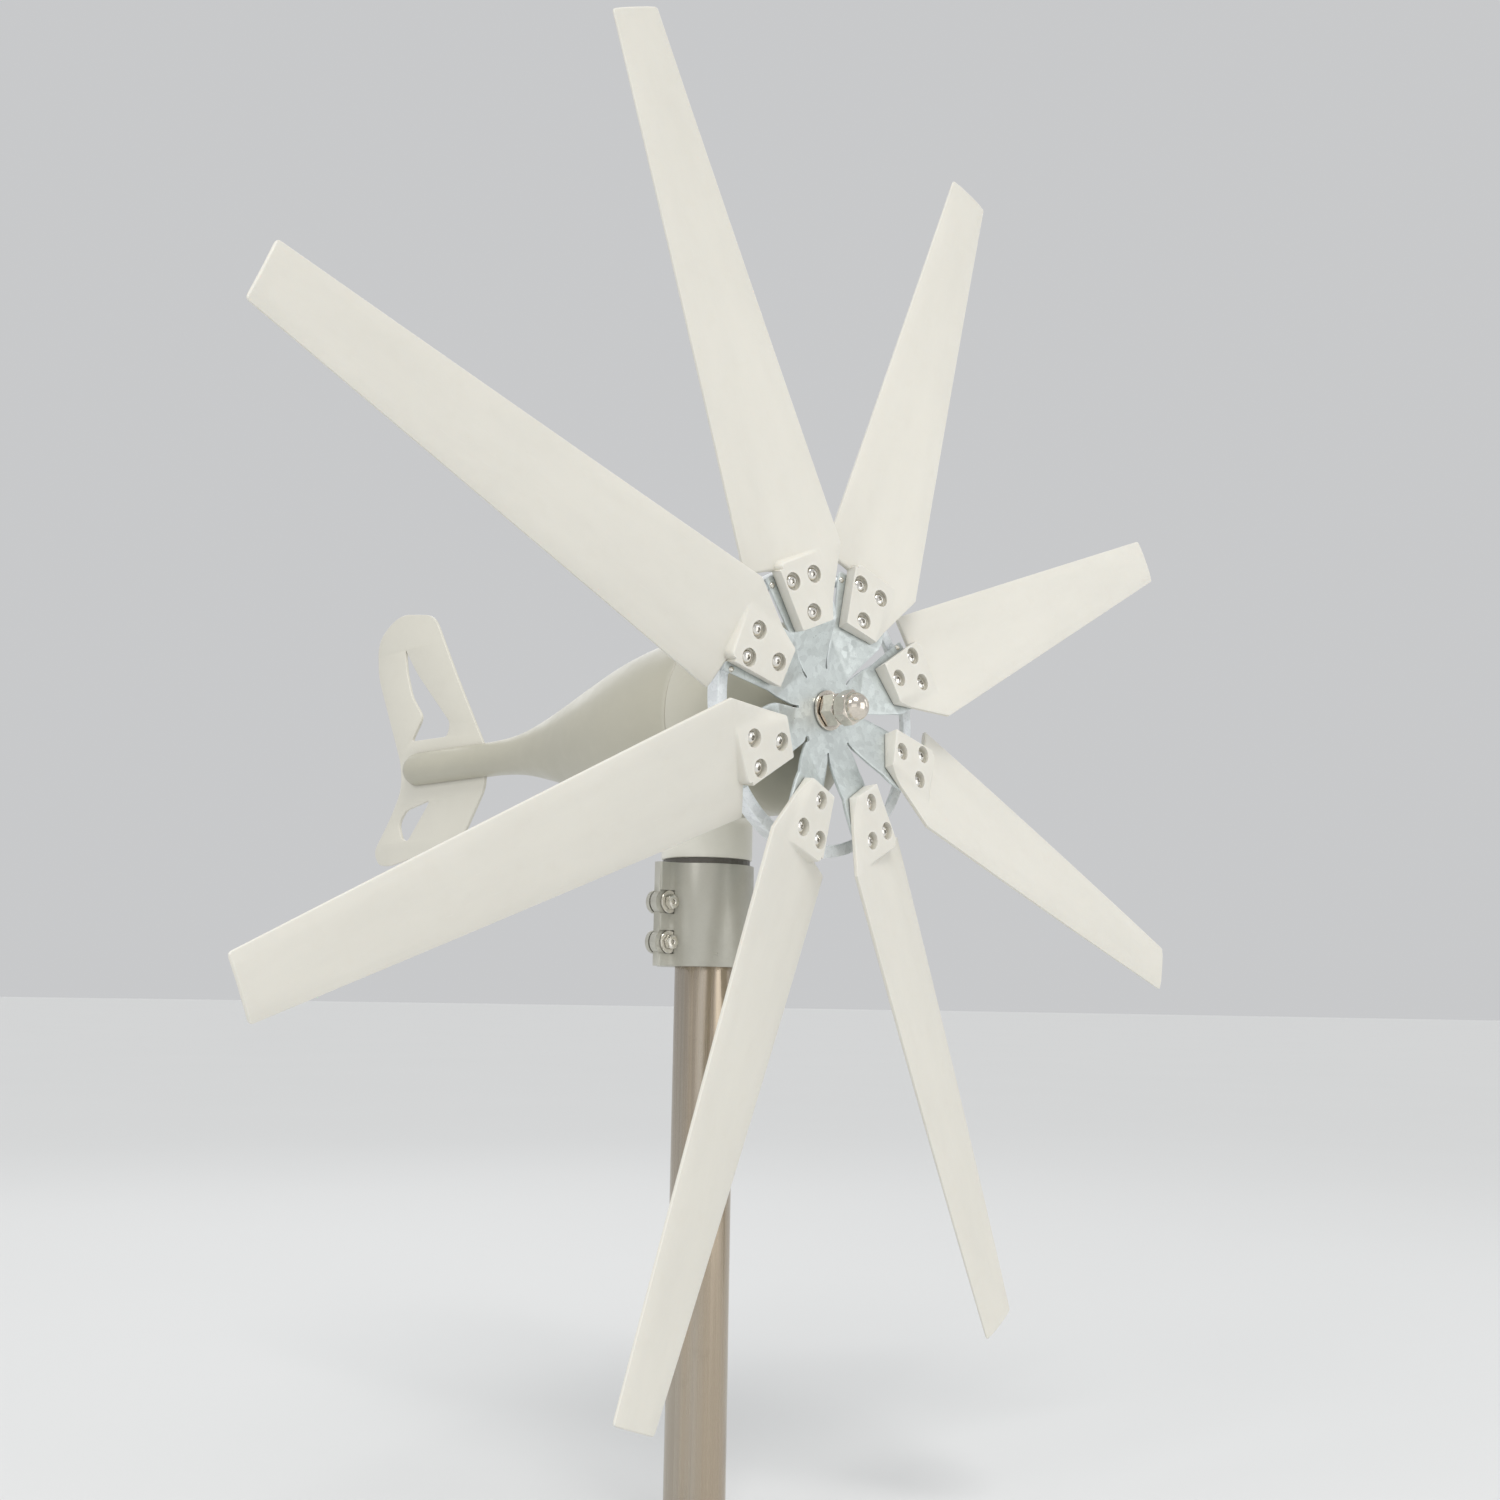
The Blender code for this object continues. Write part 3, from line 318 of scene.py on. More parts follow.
class Surface:
    """A Principled material built up from procedural layers in the piece's own coordinates. Colours are sRGB."""

    def __init__(self, name, colour, metallic=0.0, roughness=0.4, coat=0.0, specular=0.5):
        self.material = bpy.data.materials.new(name)
        self.material.use_nodes = True
        self.material.diffuse_color = linear(*colour)
        self.tree = self.material.node_tree
        self.shader = self.tree.nodes["Principled BSDF"]
        self.feed(self.shader, {"Metallic": metallic, "Roughness": roughness})
        self.feed(self.shader, {"Coat Weight": coat, "Specular IOR Level": specular})
        base = self.node("ShaderNodeRGB")
        base.outputs[0].default_value = linear(*colour)
        self.colour = base.outputs[0]
        self.roughness = roughness
        self.rough = None
        self.height = None
        self.place = self.node("ShaderNodeTexCoord").outputs["Object"]

    def feed(self, node, inputs):
        """Sets a node's inputs, each to a constant or from another node's output."""
        for key, value in inputs.items():
            if isinstance(value, bpy.types.NodeSocket):
                self.tree.links.new(value, node.inputs[key])
            else:
                node.inputs[key].default_value = value

    def node(self, kind, inputs=None, **settings):
        made = self.tree.nodes.new(kind)
        for key, value in settings.items():
            setattr(made, key, value)
        self.feed(made, inputs or {})
        return made

    def scaled(self, scale):
        """The piece's coordinates, stretched."""
        scale = scale if isinstance(scale, tuple) else (scale,) * 3
        return self.node("ShaderNodeMapping", {"Scale": scale, "Vector": self.place}).outputs[0]

    def noise(self, scale, detail=4.0, roughness=0.55):
        inputs = {"Scale": 1.0, "Detail": detail, "Roughness": roughness, "Vector": self.scaled(scale)}
        return self.node("ShaderNodeTexNoise", inputs).outputs["Fac"]

    def cells(self, scale, output="Distance"):
        return self.node("ShaderNodeTexVoronoi", {"Scale": 1.0, "Vector": self.scaled(scale)}).outputs[output]

    def ranged(self, value, low, high, to_low=0.0, to_high=1.0):
        inputs = {"From Min": low, "From Max": high, "To Min": to_low, "To Max": to_high, "Value": value}
        return self.node("ShaderNodeMapRange", inputs).outputs["Result"]

    def math(self, operation, first, second, **settings):
        return self.node("ShaderNodeMath", {0: first, 1: second}, operation=operation, **settings).outputs[0]

    def tint(self, mask, colour):
        """Lays a linear colour over the ones before, where the mask is 1."""
        inputs = {"Factor": mask, 6: self.colour, 7: colour}
        self.colour = self.node("ShaderNodeMix", inputs, data_type="RGBA").outputs[2]

    def shade(self, value, low, high):
        """Darkens and lightens the colour by a factor that follows the value."""
        inputs = {"Value": self.ranged(value, 0.3, 0.7, low, high), "Color": self.colour}
        self.colour = self.node("ShaderNodeHueSaturation", inputs).outputs[0]

    def rougher(self, value, low, high):
        """Roughness that follows the value, added to the layers before."""
        change = self.ranged(value, 0.3, 0.7, low, high)
        self.rough = change if self.rough is None else self.math("ADD", self.rough, change)

    def bumps(self, value, depth):
        """Adds to the surface's height, in metres."""
        layer = self.math("MULTIPLY", value, depth)
        self.height = layer if self.height is None else self.math("ADD", self.height, layer)

    def stains(self, pattern, low, high, amount, colour):
        """A colour where a pattern is between the two values and above, up to the amount."""
        self.tint(self.ranged(pattern, low, high, 0, amount), linear(*colour))

    def chips(self, scale, low, high, amount, colour):
        """Small round spots."""
        self.tint(self.ranged(self.cells(scale), low, high, amount, 0), linear(*colour))

    def edge_wear_and_highlight(self, amount, colour, low=0.51, high=0.56):
        """A colour along convex edges, where Pointiness is high: painted highlight, with some edge wear."""
        edges = self.ranged(self.node("ShaderNodeNewGeometry").outputs["Pointiness"], low, high)
        self.tint(self.math("MULTIPLY", edges, amount), linear(*colour))

    def shade_and_dirt_in_corners(self, distance, amount, colour):
        """A darker colour in corners and under other pieces, where ambient occlusion finds them: painted shade,
        tinted like dirt.
        """
        corners = self.node("ShaderNodeAmbientOcclusion", {"Distance": distance}, samples=6).outputs["AO"]
        mask = self.math("MULTIPLY", self.ranged(corners, 0.25, 0.85, 1.0, 0.0), amount)
        self.tint(mask, linear(*colour))

    def done(self):
        self.feed(self.shader, {"Base Color": self.colour})
        if self.rough is not None:
            total = self.math("ADD", self.rough, self.roughness, use_clamp=True)
            self.feed(self.shader, {"Roughness": total})
        if self.height is not None:
            bump = self.node("ShaderNodeBump", {"Strength": 1.0, "Distance": 1.0, "Height": self.height})
            self.feed(self.shader, {"Normal": bump.outputs["Normal"]})
        return self.material


def nylon():
    """Moulded off-white nylon: fine grain, faint flow marks, scuffs, painted shade with a little dust tint in the
    corners and painted highlight on the edges.
    """
    s = Surface("blade_nylon", (220, 217, 207), roughness=0.42, specular=0.45)
    s.shade(s.noise((9, 30, 30), 3), 0.975, 1.02)
    s.stains(s.noise(55, 5, 0.6), 0.52, 0.75, 0.10, (205, 198, 182))
    s.stains(s.noise((40, 900, 900), 2), 0.66, 0.74, 0.12, (240, 239, 233))
    s.chips(85, 0.02, 0.035, 0.16, (150, 142, 126))
    # Painted shade in the corners, with a dust tint.
    s.shade_and_dirt_in_corners(0.006, 0.38, (150, 143, 122))
    # Lighter edges: painted highlight, with a little wear.
    s.edge_wear_and_highlight(0.30, (246, 246, 241))
    s.rougher(s.noise(120, 4), -0.07, 0.09)
    s.bumps(s.noise(2600, 3), 0.000012)
    s.bumps(s.noise((14, 45, 45), 2), 0.00022)
    s.feed(s.shader, {"Subsurface Weight": 0.06, "Subsurface Radius": (0.004, 0.003, 0.002)})
    s.feed(s.shader, {"Subsurface Scale": 0.5})
    return s.done()


def paint(name, colour, dust):
    """Sprayed enamel on a casting: orange peel, slight fading, patches of dust, small chips, painted shade in the
    corners and painted highlight on the edges.
    """
    s = Surface(name, colour, roughness=0.34, coat=0.18, specular=0.5)
    s.feed(s.shader, {"Coat Roughness": 0.22})
    s.shade(s.noise(7, 4), 0.965, 1.03)
    s.stains(s.noise(38, 6, 0.65), 0.50, 0.78, 0.16, dust)
    s.chips(70, 0.012, 0.028, 0.35, (120, 112, 98))
    # Painted shade in the corners, tinted like dirt.
    s.shade_and_dirt_in_corners(0.008, 0.45, (110, 104, 90))
    # Painted highlight along the edges, with some wear.
    s.edge_wear_and_highlight(0.35, (226, 224, 214), 0.515, 0.57)
    s.rougher(s.noise(24, 5), -0.06, 0.12)
    s.bumps(s.noise(520, 3), 0.000022)
    s.bumps(s.noise(60, 2), 0.00006)
    return s.done()


def zinc(name, colour, spangle=170, metallic=0.6):
    """Hot-dip galvanised sheet: crystal spangle, dull patches and fine speckle."""
    s = Surface(name, colour, metallic=metallic, roughness=0.38, specular=0.5)
    grains = s.node("ShaderNodeSeparateColor", {0: s.cells(spangle, "Color")})
    s.shade(s.ranged(grains.outputs[0], 0, 1, 0.3, 0.7), 0.90, 1.08)
    s.stains(s.noise(45, 6, 0.7), 0.48, 0.72, 0.22, (205, 213, 211))
    s.stains(s.noise(650, 3, 0.7), 0.56, 0.72, 0.45, (150, 162, 163))
    # Painted shade in the corners, tinted like dirt.
    s.shade_and_dirt_in_corners(0.006, 0.55, (92, 98, 98))
    # Painted highlight along the edges, with some wear.
    s.edge_wear_and_highlight(0.35, (238, 244, 246), 0.51, 0.55)
    s.rougher(s.ranged(grains.outputs[1], 0, 1, 0.3, 0.7), -0.09, 0.10)
    s.rougher(s.noise(260, 4), -0.03, 0.08)
    s.bumps(s.cells(spangle), 0.00002)
    s.bumps(s.noise(700, 4, 0.7), 0.00003)
    s.bumps(s.noise(30, 2), 0.0002)
    return s.done()


def polished(name, colour, roughness, streaks=(500, 500, 60)):
    """Polished or plated steel with fine turning marks, smears, and painted shade tinted like dirt at the roots."""
    s = Surface(name, colour, metallic=1.0, roughness=roughness)
    s.shade(s.noise(streaks, 3), 0.93, 1.05)
    s.stains(s.noise(180, 5, 0.65), 0.52, 0.75, 0.25, (176, 160, 136))
    # Painted shade at the roots and in the corners, tinted like dirt.
    s.shade_and_dirt_in_corners(0.003, 0.6, (86, 76, 62))
    s.rougher(s.noise(90, 5), -0.05, 0.12)
    s.bumps(s.noise(streaks, 3), 0.000008)
    s.bumps(s.noise(160, 2), 0.00003)
    return s.done()


def brushed(name, colour, roughness, streaks, reflected_warmth):
    """Drawn or ground steel: long streaks, warmer and duller in bands, which are a painted reflection, with a few
    stains.
    """
    s = Surface(name, colour, metallic=1.0, roughness=roughness)
    s.shade(s.noise(streaks, 4, 0.6), 0.93, 1.05)
    # Warm bands laid into the colour: a painted reflection.
    s.stains(s.noise(tuple(value / 9 for value in streaks), 2), 0.44, 0.60, 0.6, reflected_warmth)
    s.stains(s.noise(30, 6, 0.7), 0.60, 0.78, 0.18, (128, 118, 104))
    s.rougher(s.noise(streaks, 4), -0.08, 0.14)
    s.rougher(s.noise(12, 4), -0.04, 0.08)
    s.bumps(s.noise(streaks, 4), 0.000015)
    return s.done()


def metallic_paint(name, colour):
    """Grey metallic paint on a casting."""
    s = Surface(name, colour, metallic=0.55, roughness=0.36, coat=0.1)
    s.shade(s.noise(9, 4), 0.94, 1.05)
    s.shade(s.noise(1800, 2, 0.8), 0.92, 1.08)
    s.stains(s.noise(60, 6, 0.7), 0.50, 0.74, 0.25, (146, 143, 128))
    # Painted shade in the corners, tinted like dirt.
    s.shade_and_dirt_in_corners(0.006, 0.6, (84, 82, 72))
    # Painted highlight along the edges, with some wear.
    s.edge_wear_and_highlight(0.5, (214, 213, 204))
    s.rougher(s.noise(200, 4), -0.05, 0.12)
    s.bumps(s.noise(420, 3), 0.00003)
    s.bumps(s.noise(55, 2), 0.00009)
    return s.done()


def plain(name, colour, metallic, roughness, grain, depth, spread, scale=None):
    """Grained surface of an inner piece. The scale stretches the grain into streaks or sheets."""
    s = Surface(name, colour, metallic=metallic, roughness=roughness)
    s.shade(s.noise(scale or grain, 4), 1 - spread, 1 + spread)
    darker = [0.55 * value for value in linear(*colour)[:3]]
    s.tint(s.ranged(s.noise(40, 5, 0.7), 0.55, 0.8, 0, 0.3), (*darker, 1.0))
    s.rougher(s.noise(grain / 3, 4), -0.08, 0.12)
    s.bumps(s.noise(scale or grain, 3), depth)
    return s.done()


NYLON = nylon()
PAINT = paint("enamel_beige", (182, 179, 163), (205, 199, 181))
FIN_PAINT = paint("enamel_fin", (214, 211, 199), (204, 199, 184))
# The neck's enamel is a lighter copy of the beige enamel: painted light, standing in for light bounced up from the
# floor onto the neck in the rotor's shade.
NECK_PAINT_LIGHTENED = paint("enamel_neck_lightened", (236, 234, 223), (205, 199, 184))
HUB_ZINC = zinc("galvanised_hub", (204, 210, 208))
# The ring's zinc is a near-white, less metallic copy of the galvanised finish: painted light, standing in for light
# bounced up from the floor.
RING_ZINC_BRIGHTENED = zinc("galvanised_ring_brightened", (244, 248, 251), 120, 0.15)
STAINLESS = polished("stainless_nuts", (224, 216, 204), 0.10)
BOLT_STEEL = polished("stainless_bolts", (232, 229, 222), 0.12, (300, 300, 300))
PLATED = polished("zinc_plated_bolts", (230, 227, 218), 0.24, (260, 260, 260))
# The last colour of each brushed steel is the warm tint of its painted reflection bands.
MAST_STEEL = brushed("drawn_mast_tube", (180, 171, 158), 0.21, (420, 420, 2.2), (184, 167, 144))
SHAFT_STEEL = brushed("ground_shaft", (186, 183, 178), 0.2, (4, 700, 700), (176, 170, 160))
CLAMP_PAINT = metallic_paint("metallic_grey_clamp", (178, 176, 165))
RUBBER = plain("grey_seal", (98, 95, 89), 0.25, 0.36, 900, 0.00002, 0.12)
RACE_STEEL = polished("bearing_steel", (196, 196, 194), 0.12, (60, 900, 900))
BRASS = plain("slip_ring_brass", (182, 148, 84), 1.0, 0.24, 500, 0.00001, 0.1)
BRONZE = plain("bush_bronze", (168, 126, 72), 1.0, 0.32, 420, 0.00003, 0.15)
CARBON = plain("brush_carbon", (44, 44, 46), 0.1, 0.6, 1200, 0.00004, 0.25)
COPPER = plain("enamelled_copper", (176, 92, 48), 0.9, 0.3, 900, 0.00009, 0.25, (900, 900, 60))
LAMINATED = plain("laminated_steel", (118, 118, 122), 0.85, 0.45, 900, 0.00005, 0.3, (2000, 12, 12))
MAGNET = plain("plated_magnet_rotor", (120, 120, 126), 0.9, 0.3, 200, 0.00003, 0.15)

# ---- Blades ----
# Offsets from the blade's middle line at which a section has points, at the shoulder's chord.
FRONT_OFFSETS = (
    -0.057, -0.053, -0.047, -0.041, -0.036, -0.032, -0.029, -0.026, -0.0235, -0.021, -0.0185, -0.015,
    -0.009, -0.003, 0.003, 0.009, 0.015, 0.0185, 0.0205, 0.022, 0.0235, 0.025, 0.027, 0.031, 0.037,
    0.044, 0.051, 0.057,
)


def share(radius):
    return max(0.0, (radius - SHOULDER_RADIUS) / (TIP_RADIUS - SHOULDER_RADIUS))


def blade_edges(radius):
    half = mix(SHOULDER_HALF_CHORD, TIP_HALF_CHORD, share(radius))
    if radius >= SHOULDER_RADIUS:
        return -half, half
    t = (radius - ROOT_RADIUS) / (SHOULDER_RADIUS - ROOT_RADIUS)
    leading = mix(ROOT_LEADING, -half, t)
    t = (radius - ROOT_RADIUS) / (STEP_RADIUS - ROOT_RADIUS)
    trailing = mix(ROOT_TRAILING, STEP_TRAILING, t)
    return leading, mix(trailing, half, smoothstep(STEP_RADIUS, SHOULDER_RADIUS, radius))


def blade_point(radius, offset, lift):
    t = share(radius)
    pitch = mix(ROOT_PITCH, TIP_PITCH, t)
    y = offset * cos(pitch) + lift * sin(pitch) - TIP_SWEEP * t
    return radius, y, -offset * sin(pitch) + lift * cos(pitch) + mix(ROOT_RISE, TIP_FORWARD, t)


def pad_lift(radius, offset):
    t = (radius - ROOT_RADIUS) / (PAD_OUTER_RADIUS - ROOT_RADIUS)
    return PAD_FACE - (STEP_TRAILING - offset) * mix(PAD_ROOT_SLOPE, PAD_OUTER_SLOPE, t)


def pad_mask(radius, offset, trailing):
    """1 on the pad's face, falling to 0 through its drafted and filleted sides."""
    corner = 0.008
    outer = PAD_OUTER_RADIUS - corner + sqrt(max(0.0, corner**2 - max(0.0, offset - 0.0175) ** 2))
    mask = smoothstep(outer + 0.0004, outer - 0.0034, radius)
    if trailing > STEP_TRAILING + 0.0005:
        mask *= smoothstep(STEP_TRAILING, STEP_TRAILING - 0.0036, offset)
    t = (radius - ROOT_RADIUS) / (PAD_OUTER_RADIUS - ROOT_RADIUS)
    return mask * smoothstep(mix(-0.0300, -0.0400, t), mix(-0.0175, -0.0225, t), offset)


def blade_ring(radius, trim=0.0, end=0.0):
    """One closed section. trim narrows it at the tip's corners, end pulls its outline in all round."""
    leading, trailing = blade_edges(radius)
    leading, trailing = leading + trim + end, trailing - trim - end
    t = share(radius)
    half_thickness = mix(BLADE_THICKNESS, TIP_THICKNESS, t) / 2
    camber = 0.035 * min(1.0, t * 4) * (trailing - leading) / 2
    stretch = mix(SHOULDER_HALF_CHORD, TIP_HALF_CHORD, t) / SHOULDER_HALF_CHORD
    inner_leading, inner_trailing = leading + EDGE_ROUND, trailing - EDGE_ROUND
    centre, half = (leading + trailing) / 2, (trailing - leading) / 2
    front, back = [], []
    for offset in FRONT_OFFSETS:
        offset = min(inner_trailing, max(inner_leading, offset * stretch))
        middle = camber * (1 - ((offset - centre) / half) ** 2)
        near = min(offset - leading, trailing - offset)
        top = middle + half_thickness * mix(0.55, 1.0, smoothstep(0, 0.010, near))
        if radius < PAD_OUTER_RADIUS + 0.001:
            top = mix(top, pad_lift(radius, offset), pad_mask(radius, offset, trailing))
        front.append((offset, top - end))
        back.append((offset, middle - half_thickness + end))
    points = [blade_point(radius, *pair) for pair in front]
    for edge, high, low, turn in ((trailing, front[-1], back[-1], 1), (leading, front[0], back[0], -1)):
        depth = min(EDGE_ROUND, (high[1] - low[1]) * 0.45)
        arc = []
        for (start, level), inwards, angles in ((high, -depth, (35, 65, 90)), (low, depth, (90, 65, 35))):
            for angle in map(radians, angles):
                arc.append((start + (edge - start) * sin(angle), level + inwards * (1 - cos(angle))))
        if turn < 0:
            points += [blade_point(radius, *pair) for pair in back[::-1]]
            arc = arc[::-1]
        points += [blade_point(radius, *pair) for pair in arc]
    return points


def bolt_seat(radius, offset):
    """From the blade's frame to a bolt's axis, square to the blade."""
    return Matrix.Translation(blade_point(radius, offset, 0)) @ Matrix.Rotation(-ROOT_PITCH, 4, "X")


def blade_mesh():
    rings = [blade_ring(ROOT_RADIUS, end=0.0007), blade_ring(ROOT_RADIUS + 0.0002, end=0.0002)]
    spans = (
        (ROOT_RADIUS + 0.0008, STEP_RADIUS - 0.004, 0.004),
        (STEP_RADIUS - 0.002, PAD_OUTER_RADIUS + 0.002, 0.0007),
        (PAD_OUTER_RADIUS + 0.004, TIP_RADIUS - TIP_CORNER - 0.006, 0.013),
    )
    for radius, last, step in spans:
        while radius < last:
            rings.append(blade_ring(radius))
            radius += step
    for step in range(7):
        back = TIP_CORNER * (1 - sin(step * pi / 12))
        trim = TIP_CORNER * (1 - cos(step * pi / 12))
        rings.append(blade_ring(TIP_RADIUS - back, trim * 0.85, 0.0007 * smoothstep(0.0009, 0, back)))
    cutters = []
    for radius, offset in BLADE_BOLTS:
        floor = pad_lift(radius, offset) - RECESS_DEPTH
        seat = bolt_seat(radius, offset)
        cutters.append(rods("shank", BOLT_HOLE_RADIUS, -0.02, floor + 0.001, 32, seat))
        cutters.append(rods("counterbore", RECESS_RADIUS, floor, floor + 0.02, 48, seat))
    return carved(skin("blade_shell", rings), cutters)


def button_head(seat):
    """A low dome head with a hexagon recess, and its shank, drawn from the blade's middle surface."""
    count = 48
    profile = [(BOLT_RADIUS - 0.0006, NUT_SEAT - 0.0075), (BOLT_RADIUS, NUT_SEAT - 0.0069), (BOLT_RADIUS, seat)]
    profile += [(HEAD_RADIUS - 0.0003, seat), (HEAD_RADIUS, seat + 0.0003)]
    first = radians(10)
    for step in range(1, 10):
        angle = first + radians(6.4 * step)
        height = seat + 0.0003 + HEAD_HEIGHT * (sin(angle) - sin(first))
        profile.append((HEAD_RADIUS * cos(angle) / cos(first), height))
    rings = [ring_points(count, *pair) for pair in profile]
    recess = ((0.0048, 0), (0.0044, 0.0003), (0.0044, 0.0018))
    rings += [ring_points(count, HEAD_RADIUS, height - drop, flats) for flats, drop in recess]
    return skin("button_head", rings)


def hexagon_body(name, flats, low, high, bore, segments=48, bottom=True):
    """A nut or a bolt's head: a hexagon with its corners turned off at the ends, and a bore."""
    corner, waist = flats / 2 / cos(pi / 6), flats * 0.48
    depth = (corner - waist) * 0.56
    sides = [(mix(waist, corner, k / 5), low + depth * k / 5) for k in range(5 * bottom)]
    sides += [(corner, low + depth * bottom)]
    sides += [(mix(corner, waist, k / 5), high - depth + depth * k / 5) for k in range(6)]
    ease = 0.0006
    hole = ((bore + ease, high), (bore, high - ease), (bore, low + ease), (bore + ease, low))
    rings = [ring_points(segments, *pair, flats) for pair in sides] + [ring_points(segments, *pair) for pair in hole]
    return skin(name, rings, loop=True)


def build_blades():
    shell = blade_mesh()
    for number in range(BLADE_COUNT):
        name = f"blade_{number + 1}"
        add_object(name + "_shell", shell, "rotor", NYLON, (name,), blade_frame(number), 32)


def build_blade_bolts():
    nut = hexagon_body("blade_nut", NUT_FLATS, NUT_SEAT - 0.0065, NUT_SEAT - 0.0001, NUT_BORE)
    for letter, (radius, offset) in zip("abc", BLADE_BOLTS):
        head = button_head(pad_lift(radius, offset) - RECESS_DEPTH + GAP)
        for number in range(BLADE_COUNT):
            name = f"blade_bolt_{number + 1}{letter}"
            # Each bolt stopped at an angle of its own when it was tightened.
            turn = Matrix.Rotation(radians(37 * number + 53 * offset * 1000), 4, "Z")
            matrix = blade_frame(number) @ bolt_seat(radius, offset) @ turn
            add_object(name + "_screw", head, "rotor", BOLT_STEEL, (name,), matrix)
            add_object(name + "_nut", nut, "rotor", PLATED, (), matrix)


# ---- Hub ----
# An arm's radius, and there its leading and trailing sides' offsets.
ARM_OUTLINE = (
    (0.0460, -0.0176, 0.0178), (0.0500, -0.0194, 0.0186), (0.0580, -0.0226, 0.0200),
    (0.0660, -0.0258, 0.0213), (0.0750, -0.0292, 0.0226), (0.0840, -0.0325, 0.0238),
    (0.0920, -0.0340, 0.0252), (0.1100, -0.0336, 0.0283), (0.1280, -0.0325, 0.0313),
    (0.1375, -0.0312, 0.0326), (0.1393, -0.0302, 0.0320), (0.1402, -0.0284, 0.0302),
)
SLOT_RADIUS = 0.0420
SLOT_WIDTH = 0.0026
KEY_HOLE_RADIUS = 0.0030  # the one slot that ends in a larger hole
RIVET_RADIUS = 0.1340
RIVET_OFFSET = 0.0283
RING_FACE = -0.0085  # the ring's flange, behind the hub plate's front face


def arm_rise(offset, radius):
    """Height of the folded arm's front face. A soft crease runs across the arm from its leading slot."""
    start = mix(0.0430, 0.0690, min(1.0, max(0.0, (offset + 0.018) / 0.037)))
    return (FOLD_OFFSET - offset) * sin(ROOT_PITCH) * min(1.0, max(0.0, (radius - start) / (0.0815 - start)))


def arm_outline(radius):
    for (r0, lead0, trail0), (r1, lead1, trail1) in zip(ARM_OUTLINE, ARM_OUTLINE[1:]):
        if radius <= r1:
            t = max(0.0, (radius - r0) / (r1 - r0))
            return mix(lead0, lead1, t), mix(trail0, trail1, t)
    return ARM_OUTLINE[-1][1:]


def hub_plate_mesh():
    """The disc and its eight arms as one folded sheet, drilled for the bolts and slotted between the arms."""
    bm = bmesh.new()
    across = 16
    radii = [ARM_OUTLINE[0][0]]
    while radii[-1] < 0.1310:
        radii.append(radii[-1] + (0.0018 if radii[-1] < 0.084 else 0.006))
    radii += [0.1375, 0.1386, 0.1393, 0.1398, 0.1402]
    rows = []
    for step in range(7):
        reach = mix(SHAFT_HOLE_RADIUS, DISC_RADIUS, step / 6)
        angles = [(i / across - 0.5) * 2 * pi / BLADE_COUNT for i in range(across + 1)]
        rows.append([(reach * cos(angle), reach * sin(angle), 0) for angle in angles])
    for radius in radii:
        offsets = [mix(*arm_outline(radius), i / across) for i in range(across + 1)]
        squeeze = mix(1.0, cos(ROOT_PITCH), min(1.0, max(0.0, (radius - 0.046) / 0.036)))
        rows.append([(radius, offset * squeeze, arm_rise(offset, radius)) for offset in offsets])
    turns = [blade_turn(number) for number in range(BLADE_COUNT)]
    for turn in turns:
        grid = [[bm.verts.new(turn @ Vector(point)) for point in row] for row in rows]
        for lower, upper in zip(grid, grid[1:]):
            for i in range(across):
                bm.faces.new((lower[i], upper[i], upper[i + 1], lower[i + 1]))
    bmesh.ops.remove_doubles(bm, verts=bm.verts, dist=0.00002)
    solid = rounded(thickened(bm, "hub_plate_sheet", PLATE_THICKNESS), 0.0004, 60)
    cutters = []
    for number, turn in enumerate(turns):
        seats = [turn @ bolt_seat(radius, offset) for radius, offset in BLADE_BOLTS]
        cutters.append(rods("arm_drill", ARM_HOLE_RADIUS, -0.012, 0.002, 24, *seats))
        gap_turn = turn @ Matrix.Rotation(pi / BLADE_COUNT, 4, "Z")
        slot = slab("slot", (SLOT_RADIUS, -SLOT_WIDTH / 2, -0.02), (0.060, SLOT_WIDTH / 2, 0.02))
        slot.transform(gap_turn)
        relief = KEY_HOLE_RADIUS if number == BLADE_COUNT - 1 else SLOT_WIDTH / 2 + 0.0001
        hole = gap_turn @ Matrix.Translation((SLOT_RADIUS, 0, 0))
        cutters += [slot, rods("slot_end", relief, -0.021, 0.021, 32, hole)]
    return carved(solid, cutters)


